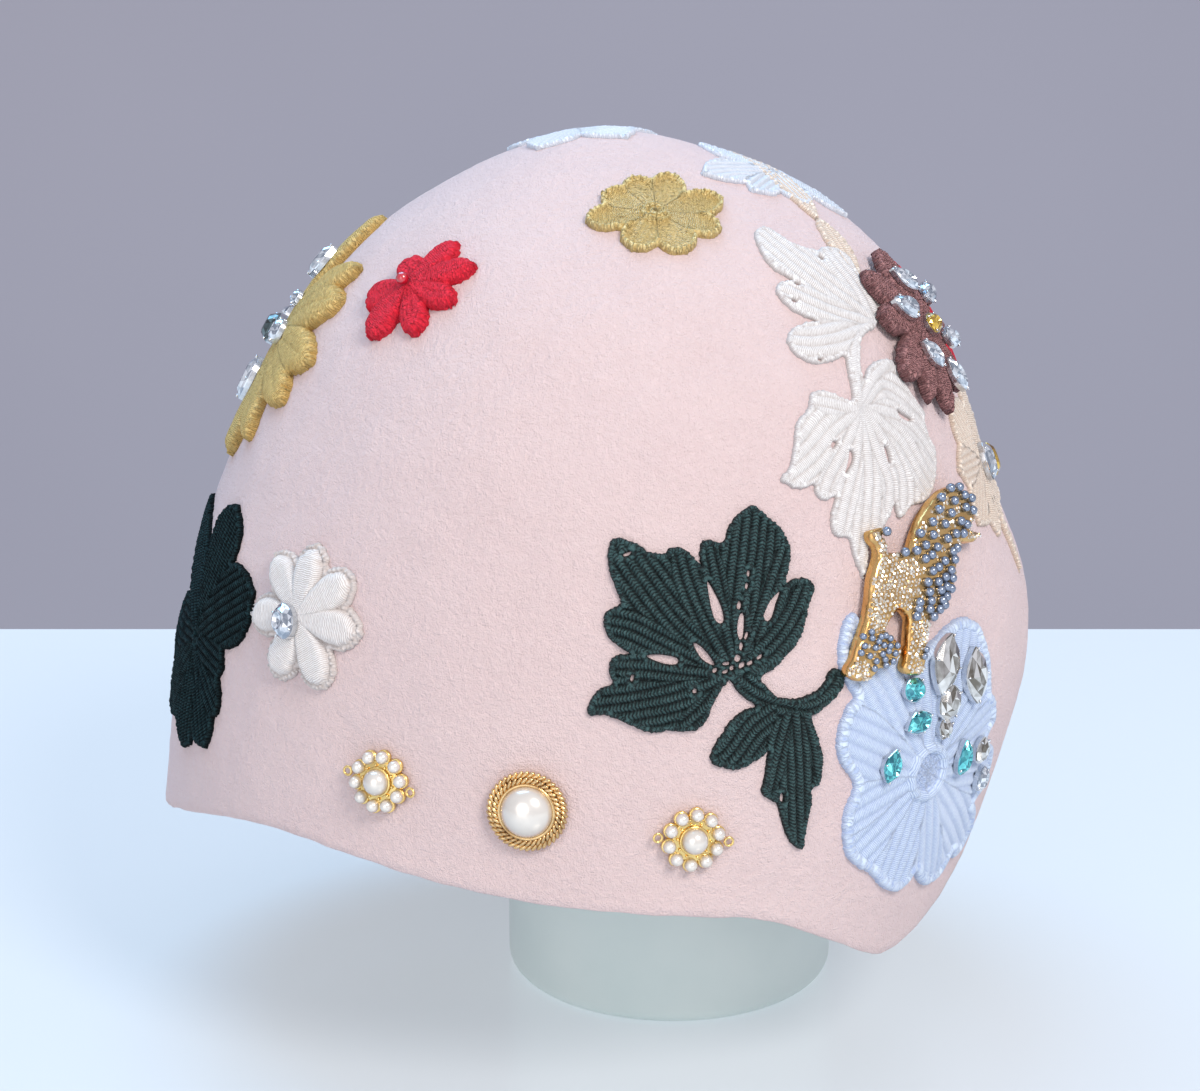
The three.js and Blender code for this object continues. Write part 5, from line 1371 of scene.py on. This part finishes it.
def claw_cup(outline, length, width, height):
    """The metal cup: a thin wall up to the girdle and four claws bent over it."""
    parts = []
    select_nothing()
    bpy.ops.mesh.primitive_cylinder_add(vertices=28, radius=1, depth=1, end_fill_type="NGON",
                                        location=(0, 0, 0.5))
    cup = settle(bpy.context.object)
    for v in cup.data.vertices:
        x, y = girdle_shape(outline, v.co.x, v.co.y)
        v.co = (x * (length / 2 + 0.12), y * (width / 2 + 0.12), v.co.z * height * 0.40)
    parts.append(cup)
    for quarter in range(4):
        turn = quarter * math.pi / 2 + (0 if outline == "navette" else math.pi / 4)
        x, y = girdle_shape(outline, math.cos(turn), math.sin(turn))
        select_nothing()
        bpy.ops.mesh.primitive_uv_sphere_add(segments=8, ring_count=6, radius=0.34)
        claw = bpy.context.object
        claw.scale = (1.3, 0.8, 1.0)
        claw.rotation_euler = (0, 0, math.atan2(y * width, x * length))
        claw.location = (x * length * 0.47, y * width * 0.47, height * 0.62)
        parts.append(settle(claw))
    return joined("cup", parts)


def thread_height(ground, seat, length, width):
    """How high the thread lies under a stone, in millimetres above the felt: its highest of nine spots."""
    heights = []
    for along in (-0.35, 0, 0.35):
        for aside in (-0.35, 0, 0.35):
            start = seat @ Vector((along * length, aside * width, 15))
            hit = ground.ray_cast(start, -seat.col[2].xyz.normalized(), 0.03)[0]
            if hit is not None:
                heights.append((seat.inverted() @ hit).z)
    return max(heights, default=0.0)


def set_stones(prefix, patch, rows, size, finishes, flower):
    """Each row: x and y as shares of the flower's size, outline, length, width, height, turn."""
    ground = surface_of(flower)
    for i, (x, y, outline, length, width, height, turn) in enumerate(rows):
        node = f"{prefix}_{i + 1}"
        seat = patch.seat(x * size, y * size, turn)
        low = min(base_height(node, seat), thread_height(ground, seat, length, width))
        seat = patch.seat(x * size, y * size, turn, low)
        broad = finishes[i] is SMOKE
        if broad:
            length, width = length * SMOKE_LONGER, width * SMOKE_WIDER
        stone = cut_stone(outline, length - 0.2, width - 0.2, height * 0.98, broad)
        cup = claw_cup(outline, length - 0.2, width - 0.2, height)
        stone.data.transform(seat)
        cup.data.transform(seat)
        titled(stone, f"{node}_glass")
        titled(cup, f"{node}_cup")
        painted_reflection_values(stone, 40 + i + len(prefix))
        finish, slot = finishes[i]
        wear(stone, finish, slot, node)
        smooth(cup, 40)
        wear(cup, silver_cup, slot)


# %% Stones on the flowers
CLEAR, DARK = (clear_stone, "clear_stone"), (deep_stone, "dark_stone")
TEAL = (turquoise_stone, "turquoise_stone")
SMOKE, AMBER = (smoke_stone, "smoke_stone"), (amber_stone, "amber_stone")
MUSTARD_STONES = [
    (0.00, 0.00, "oval", 9.0, 8.4, 4.4, 0), (0.26, 0.06, "oval", 7.0, 6.0, 3.0, 80),
    (0.10, 0.27, "oval", 4.6, 4.2, 2.4, 0), (0.04, 0.54, "navette", 10.0, 5.4, 3.0, 84),
    (0.06, -0.36, "navette", 12.0, 5.6, 3.0, 96), (-0.30, 0.02, "oval", 8.0, 6.0, 3.0, 70),
]
BROWN_STONES = [
    (0.12, -0.08, "oval", 5.6, 5.6, 3.0, 0), (-0.20, 0.22, "pear", 9.0, 6.6, 3.0, 140),
    (0.16, 0.46, "navette", 9.0, 4.6, 2.8, 120), (0.50, 0.22, "oval", 7.0, 5.4, 2.8, 30),
    (-0.22, -0.34, "navette", 8.6, 4.4, 2.8, 110), (0.44, -0.30, "pear", 7.4, 5.4, 2.8, -40),
    (0.12, -0.66, "navette", 10.0, 4.4, 2.8, 108),
]
BEIGE_STONES = [(0.10, -0.04, "oval", 10.0, 6.0, 3.0, 84), (0.40, -0.10, "oval", 9.0, 6.0, 3.0, 84)]
BLUE_STONES = [
    (-0.15, 0.54, "oval", 6.2, 6.0, 3.0, 0), (-0.12, 0.34, "navette", 8.0, 5.6, 3.0, 20),
    (-0.33, 0.12, "navette", 8.4, 5.0, 3.0, 70), (0.30, 0.02, "pear", 9.0, 5.4, 3.0, 80),
    (0.12, 0.63, "navette", 13.0, 7.0, 3.4, 66), (0.40, 0.50, "navette", 12.0, 6.6, 3.4, 84),
    (0.14, 0.40, "oval", 7.6, 5.6, 3.0, 70), (0.10, 0.25, "pear", 4.6, 3.8, 2.8, 250),
    (0.52, 0.00, "oval", 6.0, 4.6, 2.8, 80), (0.60, -0.22, "oval", 6.6, 4.6, 2.8, 80),
]
DAISY_STONES = [(-0.10, -0.10, "oval", 8.6, 7.0, 3.4, 120)]
set_stones("mustard_stone", mustard_patch, MUSTARD_STONES, MUSTARD_SIZE, [DARK] + [CLEAR] * 5, mustard)
set_stones("brown_stone", brown_patch, BROWN_STONES, BROWN_SIZE, [AMBER] + [CLEAR] * 6, brown)
set_stones("beige_stone", beige_patch, BEIGE_STONES, BEIGE_SIZE, [CLEAR, AMBER], beige_leaf)
set_stones("blue_stone", blue_patch, BLUE_STONES, BLUE_SIZE, [TEAL] * 4 + [SMOKE] * 5 + [CLEAR],
           blue_flower)
set_stones("daisy_stone", daisy_patch, DAISY_STONES, DAISY_SIZE, [CLEAR], daisy)

# %% Red glass bead
select_nothing()
bpy.ops.mesh.primitive_uv_sphere_add(segments=24, ring_count=14, radius=1.5, location=(0, 0, 1.5))
bead = settle(named("glass_bead"))
seat = red_flower_patch.seat(0, 0)
bead.data.transform(red_flower_patch.seat(0, 0, 0, base_height("red_bead", seat)))
smooth(bead, 180)
# The bead's second colour is its painted rim shade.
red_glass = pearl_material("red_glass", (0.62, 0.01, 0.03), (0.25, 0.0, 0.01), 0.08)
wear(bead, red_glass, "red_bead", "red_bead")

# %% [markdown]
# ## The pearl button and the two pearl clusters
# The button is a half pearl in a polished ring, with two twisted ropes round it. One lay of the rope is
# a slanted bead, and spinning it round the ring makes the rope. A cluster is a gilt flower plate with a
# cup for each pearl, and a wire loop at each side.

# %% Ropes, rings and pearls
def rope(radius, lays, thick, height, slant):
    """A ring of slanted beads, which reads as twisted wire."""
    select_nothing()
    bpy.ops.mesh.primitive_uv_sphere_add(segments=10, ring_count=6, radius=1)
    lay = bpy.context.object
    lay.scale = (thick * 0.62, thick * 1.55, thick * 0.8)
    lay.rotation_euler = (0, 0, slant)
    lay.location = (radius, 0, height)
    settle(lay)
    ring = copies("rope", lay, [Matrix.Rotation(2 * math.pi * i / lays, 4, "Z") for i in range(lays)])
    discard(lay)
    return ring


def ring(radius, wire, height, around=64):
    select_nothing()
    bpy.ops.mesh.primitive_torus_add(major_radius=radius, minor_radius=wire, major_segments=around,
                                     minor_segments=12, location=(0, 0, height))
    return settle(bpy.context.object)


def dish(radius, thick, around=48):
    select_nothing()
    bpy.ops.mesh.primitive_cylinder_add(vertices=around, radius=radius, depth=thick,
                                        location=(0, 0, thick / 2))
    plate = settle(bpy.context.object)
    edge = plate.modifiers.new("edge", "BEVEL")
    edge.width = thick * 0.3
    edge.segments = 3
    bpy.ops.object.modifier_apply(modifier="edge")
    return plate


def pearl(radius, height, squash=1.0, fine=24):
    select_nothing()
    bpy.ops.mesh.primitive_uv_sphere_add(segments=fine, ring_count=fine // 2, radius=radius)
    ball = bpy.context.object
    ball.scale = (1, 1, squash)
    ball.location = (0, 0, height)
    return settle(ball)


def on_circle(radius, angle):
    """A shift to a place on a circle."""
    return Matrix.Translation((radius * math.cos(angle), radius * math.sin(angle), 0))


def button():
    patch = FeltPatch(-99.4, 0.291, 14)
    seat = patch.seat(0, 0, 0, 0.3)
    parts = [dish(8.5, 1.4), rope(8.35, 42, 0.86, 1.35, 0.7), rope(7.2, 38, 0.76, 2.0, 0.7),
             ring(6.2, 0.45, 2.1, 72), ring(6.5, 0.35, 1.7, 72)]
    setting = joined("button_ropes", parts)
    setting.data.transform(seat)
    smooth(setting, 50)
    wear(setting, antique_gilt, "gilt_metal", "button_setting")
    half = pearl(5.9, 1.8, 0.78, 48)
    titled(half, "button_half_pearl")
    half.data.transform(seat)
    smooth(half, 180)
    wear(half, white_pearl, "pearl", "button_pearl")


def cluster(name, node, azimuth, rise):
    patch = FeltPatch(azimuth, rise, 12)
    seat = patch.seat(0, 0, 0, 0.3)
    angles = [math.radians(10 + 36 * i) for i in range(10)]
    parts = [dish(5.0, 1.2), ring(3.2, 0.32, 1.7, 40)]
    for angle in angles:
        for petal_radius, place in ((1.8, 5.75), (0.6, 4.3)):
            cup = dish(petal_radius, 1.0, 20)
            cup.data.transform(on_circle(place, angle))
            parts.append(cup)
        bar = dish(0.35, 1.9, 12)
        bar.data.transform(on_circle(3.9, angle + math.radians(18)))
        parts.append(bar)
    for angle in (math.radians(-8), math.radians(172)):
        loop = ring(0.95, 0.3, 0.8, 24)
        loop.data.transform(on_circle(8.3, angle))
        parts.append(loop)
    plate = joined(f"{name}_plate", parts)
    plate.data.transform(seat)
    smooth(plate, 45)
    wear(plate, yellow_gilt, "gilt_metal", node)
    ball = pearl(1.52, 1.5, 1.0, 16)
    balls = copies(f"{name}_ring_of_pearls", ball, [seat @ on_circle(5.8, angle) for angle in angles])
    discard(ball)
    smooth(balls, 180)
    wear(balls, white_pearl, "pearl")
    middle = pearl(3.0, 2.2, 0.9, 32)
    titled(middle, f"{name}_middle_pearl")
    middle.data.transform(seat)
    smooth(middle, 180)
    wear(middle, white_pearl, "pearl", f"{node}_pearl")


button()
cluster("left_cluster", "pearl_cluster_left", -119.5, 0.305)
cluster("right_cluster", "pearl_cluster_right", -78.4, 0.255)

# %% [markdown]
# ## The dog brooch
# A small dog cast in gilt metal. Its body is paved with tiny crystals, and its coat, tail tip and the
# tufts on its legs are packed with grey pearls. The outline and the pearls were read off the picture.
# They stand above the felt, so their places are moved back along the line of sight.

# %% Brooch plate
BROOCH_WINDOW = (835, 475, 7.127)
PLATE_ABOVE, PEARLS_ABOVE, PEARL_SEAT, PAVING_SEAT = 1.6, 2.4, 4.3, 4.45
BROOCH_OUTLINE = [
    (205, 412), (250, 394), (296, 386), (306, 420), (292, 445), (312, 486), (318, 540), (352, 562),
    (404, 560), (480, 552), (500, 500), (530, 402), (572, 300), (620, 220), (680, 150), (740, 104),
    (806, 84), (856, 120), (884, 170), (918, 230), (936, 290), (926, 352), (906, 402), (962, 418),
    (966, 452), (930, 490), (880, 492), (842, 500), (826, 560), (812, 640), (802, 720), (790, 802),
    (766, 882), (740, 932), (690, 992), (640, 1032), (616, 1082), (602, 1152), (602, 1250), (590, 1352),
    (574, 1404), (540, 1422), (470, 1412), (444, 1370), (456, 1300), (470, 1200), (476, 1100),
    (480, 1030), (450, 982), (410, 962), (370, 1010), (342, 1060), (322, 1112), (380, 1160), (412, 1210),
    (420, 1262), (396, 1320), (330, 1372), (276, 1376), (260, 1402), (200, 1450), (130, 1466), (76, 1440),
    (40, 1420), (50, 1370), (86, 1310), (110, 1230), (140, 1140), (170, 1050), (190, 960), (200, 870),
    (214, 740), (240, 650), (256, 570), (250, 520), (212, 470),
]
BROOCH_PEARLS = [
    (765, 105), (815, 100), (695, 172), (790, 187), (855, 155), (905, 182), (668, 252), (765, 280),
    (875, 243), (915, 270), (630, 340), (720, 362), (832, 342), (886, 360), (552, 425), (640, 433),
    (735, 460), (795, 428), (850, 432), (580, 505), (672, 520), (530, 548), (450, 556), (578, 603),
    (622, 578), (806, 533), (770, 560), (725, 615), (790, 618), (680, 663), (632, 695), (764, 680),
    (725, 735), (776, 742), (597, 770), (672, 767), (736, 797), (770, 815), (615, 838), (690, 825),
    (738, 868), (625, 900), (698, 898), (720, 930), (625, 960), (675, 963), (542, 912), (535, 960),
    (520, 1008), (650, 1008), (312, 420),
]
TUFT_PEARLS = [
    (165, 1155), (222, 1165), (218, 1118), (283, 1148), (355, 1160), (322, 1140), (175, 1218), (240, 1230),
    (303, 1208), (350, 1212), (398, 1208), (147, 1268), (205, 1283), (290, 1273), (340, 1248), (385, 1265),
    (250, 1320), (312, 1310), (372, 1325), (315, 1352), (245, 1370), (600, 1240), (586, 1288), (262, 1185),
]


def brooch_relief(gap, score, along, aside, owner, run, flat):
    return 1.9 + 0.8 * pillow(gap, 2.2)


def brooch():
    patch = FeltPatch(-48, 0.508, 36)
    outline = flowing(seen_on_felt(patch, BROOCH_WINDOW, BROOCH_OUTLINE, PLATE_ABOVE), 0.4)
    spine = Lobe([(0, -20), (0, 0), (0, 20)], 20)
    plate = stitched("brooch_plate", patch, [outline], [], [spine], brooch_relief, pace=0.55, seed=16,
                     lift=1.9, ragged=0.0, rim=1.7)
    smooth(plate, 45)
    wear(plate, orange_gilt, "gilt_metal", "dog_brooch")

    pearls = seen_on_felt(patch, BROOCH_WINDOW, BROOCH_PEARLS, PEARLS_ABOVE)
    tufts = seen_on_felt(patch, BROOCH_WINDOW, TUFT_PEARLS, PEARLS_ABOVE)
    seats = [patch.seat(x, y, 0, PEARL_SEAT) @ Matrix.Scale(1.18, 4) for x, y in pearls]
    seats += [patch.seat(x, y, 0, PEARL_SEAT) @ Matrix.Scale(0.85, 4) for x, y in tufts]
    ball = pearl(1.0, 0.6, 1.0, 14)
    coat = copies("brooch_pearls", ball, seats)
    discard(ball)
    smooth(coat, 180)
    wear(coat, grey_pearl, "pearl")

    rng = np.random.default_rng(17)
    spots = scattered([outline], [], 1.1, rng)
    taken = np.vstack([pearls, tufts])
    clear = np.array([min(np.hypot(*(taken - p).T)) > 1.25 for p in spots])
    edge = edge_finder(outline)
    margin = np.array([edge.find((p[0], p[1], 0))[2] for p in spots])
    to_coat = np.array([min(np.hypot(*(pearls - p).T)) for p in spots])
    spots = spots[clear & (margin > 0.5) & (to_coat > 1.9)]
    select_nothing()
    bpy.ops.mesh.primitive_ico_sphere_add(subdivisions=1, radius=0.58)
    chip = bpy.context.object
    chip.scale = (1, 1, 0.75)
    settle(chip)
    seats = [patch.seat(x, y, rng.uniform(0, 360), PAVING_SEAT)
             @ Matrix.Rotation(rng.normal(0, 0.25), 4, "X")
             @ Matrix.Scale(rng.uniform(0.75, 1.25), 4) for x, y in spots]
    paving = copies("brooch_paving", chip, seats)
    discard(chip)
    painted_reflection_values(paving, 18)
    wear(paving, champagne_stone, "clear_stone")
    print("pearls:", len(pearls) + len(tufts), "crystals:", len(spots))


orange_gilt = metal_material("orange_gilt", (0.74, 0.46, 0.18), (0.36, 0.19, 0.06), 0.2)
champagne_stone = stone_material("champagne_stone", (1.0, 0.96, 0.87), (0.55, 0.38, 0.20), 0.85, 0.08)
brooch()

# %% [markdown]
# ## The stand
# A plain round stand with a rounded foot, in matte sage paint, and a dome out of sight in the crown.
# It is a cylinder whose lower edge is bevelled, and half a sphere on top.

# %% Stand
STAND_RADIUS, SIDE_BEGINS = 0.0425, 0.041
FOOT_ROUNDING, DOME_INSIDE, DOME_SUNK = 0.004, 0.0005, 0.002


def stand_height():
    """Where the straight side of the CAD stand ends."""
    return max(v.co.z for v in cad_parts["stand"].data.vertices
               if math.hypot(v.co.x, v.co.y) > SIDE_BEGINS)


def round_stand():
    _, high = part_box("stand")
    shoulder = stand_height()
    select_nothing()
    bpy.ops.mesh.primitive_cylinder_add(vertices=128, radius=STAND_RADIUS, depth=shoulder,
                                        location=(0, 0, shoulder / 2))
    side = settle(bpy.context.object)
    bpy.ops.object.mode_set(mode="EDIT")
    bpy.ops.mesh.select_mode(type="FACE")
    bpy.ops.mesh.select_all(action="DESELECT")
    bpy.ops.object.mode_set(mode="OBJECT")
    for face in side.data.polygons:
        face.select = face.normal.z < -0.9
    bpy.ops.object.mode_set(mode="EDIT")
    bpy.ops.mesh.region_to_loop()
    bpy.ops.mesh.bevel(offset=FOOT_ROUNDING, segments=8, affect="EDGES")
    bpy.ops.object.mode_set(mode="OBJECT")
    select_nothing()
    bpy.ops.mesh.primitive_uv_sphere_add(segments=96, ring_count=48, radius=1)
    dome = bpy.context.object
    inner = STAND_RADIUS - DOME_INSIDE
    dome.scale = (inner, inner, high.z - shoulder - DOME_INSIDE)
    dome.location = (0, 0, shoulder - DOME_INSIDE)
    edit_all(settle(dome))
    bpy.ops.mesh.bisect(plane_co=(0, 0, shoulder - DOME_SUNK), plane_no=(0, 0, 1), use_fill=True,
                        clear_inner=True)
    bpy.ops.object.mode_set(mode="OBJECT")
    whole = joined("round_stand", [side, dome])
    smooth(whole, 40)
    return whole


stand_paint, tree, shader, place = new_material("sage_paint")
cloud = noise(tree, Vector=place, Scale=26.0, Detail=4.0)
grain = noise(tree, Vector=place, Scale=1600.0, Detail=2.0)
plug(tree, blend(tree, spread(tree, cloud, 0.35, 0.65), colour(0.66, 0.755, 0.73), colour(0.72, 0.80, 0.77)),
     shader.inputs["Base Color"])
plug(tree, spread(tree, cloud, 0.3, 0.7, 0.34, 0.46), shader.inputs["Roughness"])
plug(tree, bump(tree, grain, 0.08, 0.0002), shader.inputs["Normal"])
wear(round_stand(), stand_paint, "stand_paint", "stand")

# %% [markdown]
# ## Light, floor and backdrop
# A small warm window at the right gives the highlights, a wide one in front softens them, and a blue sky
# light tints the crown. The floor has a little painted glow, which lifts the shadows on it, and the backdrop
# is plain paint.

# %% Light and floor
def area_light(name, place, aim, size, power, tint):
    data = bpy.data.lights.new(name, "AREA")
    data.shape = "DISK"
    data.size = size
    data.energy = power
    data.color = tint
    light = placed(name, data)
    light.location = place
    light.rotation_euler = (Vector(aim) - Vector(place)).to_track_quat("-Z", "Y").to_euler()


area_light("window_right", (0.60, -0.90, 1.05), (0, 0, 0.12), 0.50, 11.5, (1.0, 0.95, 0.90))
area_light("window_left", (-0.55, -1.30, 0.50), (0, 0, 0.10), 1.2, 4.2, (1.0, 0.95, 0.92))
area_light("sky_above", (-0.30, 0.50, 1.15), (0, 0, 0.15), 1.0, 10.5, (0.32, 0.66, 1.0))
world = bpy.data.worlds.new("studio")
world.use_nodes = True
constants(world.node_tree.nodes["Background"], Color=colour(0.86, 0.89, 1.0), Strength=0.70)
bpy.context.scene.world = world
bpy.context.scene.view_settings.view_transform = "Standard"


def stage_material(name, light, dark, rough, size, painted_glow=0.0):
    """Paint with a soft cloud of two tones, and a little painted glow if asked, which lifts the shadows on
    it.
    """
    material, tree, shader, place = new_material(name)
    speck = noise(tree, Vector=place, Scale=size, Detail=3.0)
    plug(tree, blend(tree, speck, colour(*dark), colour(*light)), shader.inputs["Base Color"])
    # Painted light: the emission makes the floor glow and lifts the shadows on it.
    constants(shader, Roughness=rough, Emission_Color=colour(0.86, 0.95, 1.0), Emission_Strength=painted_glow)
    return material


TABLE_BACK = 0.285
select_nothing()
bpy.ops.mesh.primitive_cube_add(size=1, location=(0, TABLE_BACK - 2, -0.02))
floor = named("floor")
floor.scale = (8, 4, 0.04)
settle(floor)
# The floor's last number is its painted glow, which lifts the shadows on it.
floor.data.materials.append(stage_material(
    "floor_paint", (0.45, 0.47, 0.50), (0.43, 0.46, 0.50), 0.2, 3.0, 0.38))
select_nothing()
bpy.ops.mesh.primitive_grid_add(x_subdivisions=2, y_subdivisions=2, size=8.0, location=(0, 2.2, 0.5),
                                rotation=(math.pi / 2, 0, 0))
backdrop = settle(named("backdrop"))
backdrop.data.materials.append(stage_material(
    "backdrop_paint", (0.52, 0.505, 0.565), (0.44, 0.43, 0.49), 0.9, 1.2))
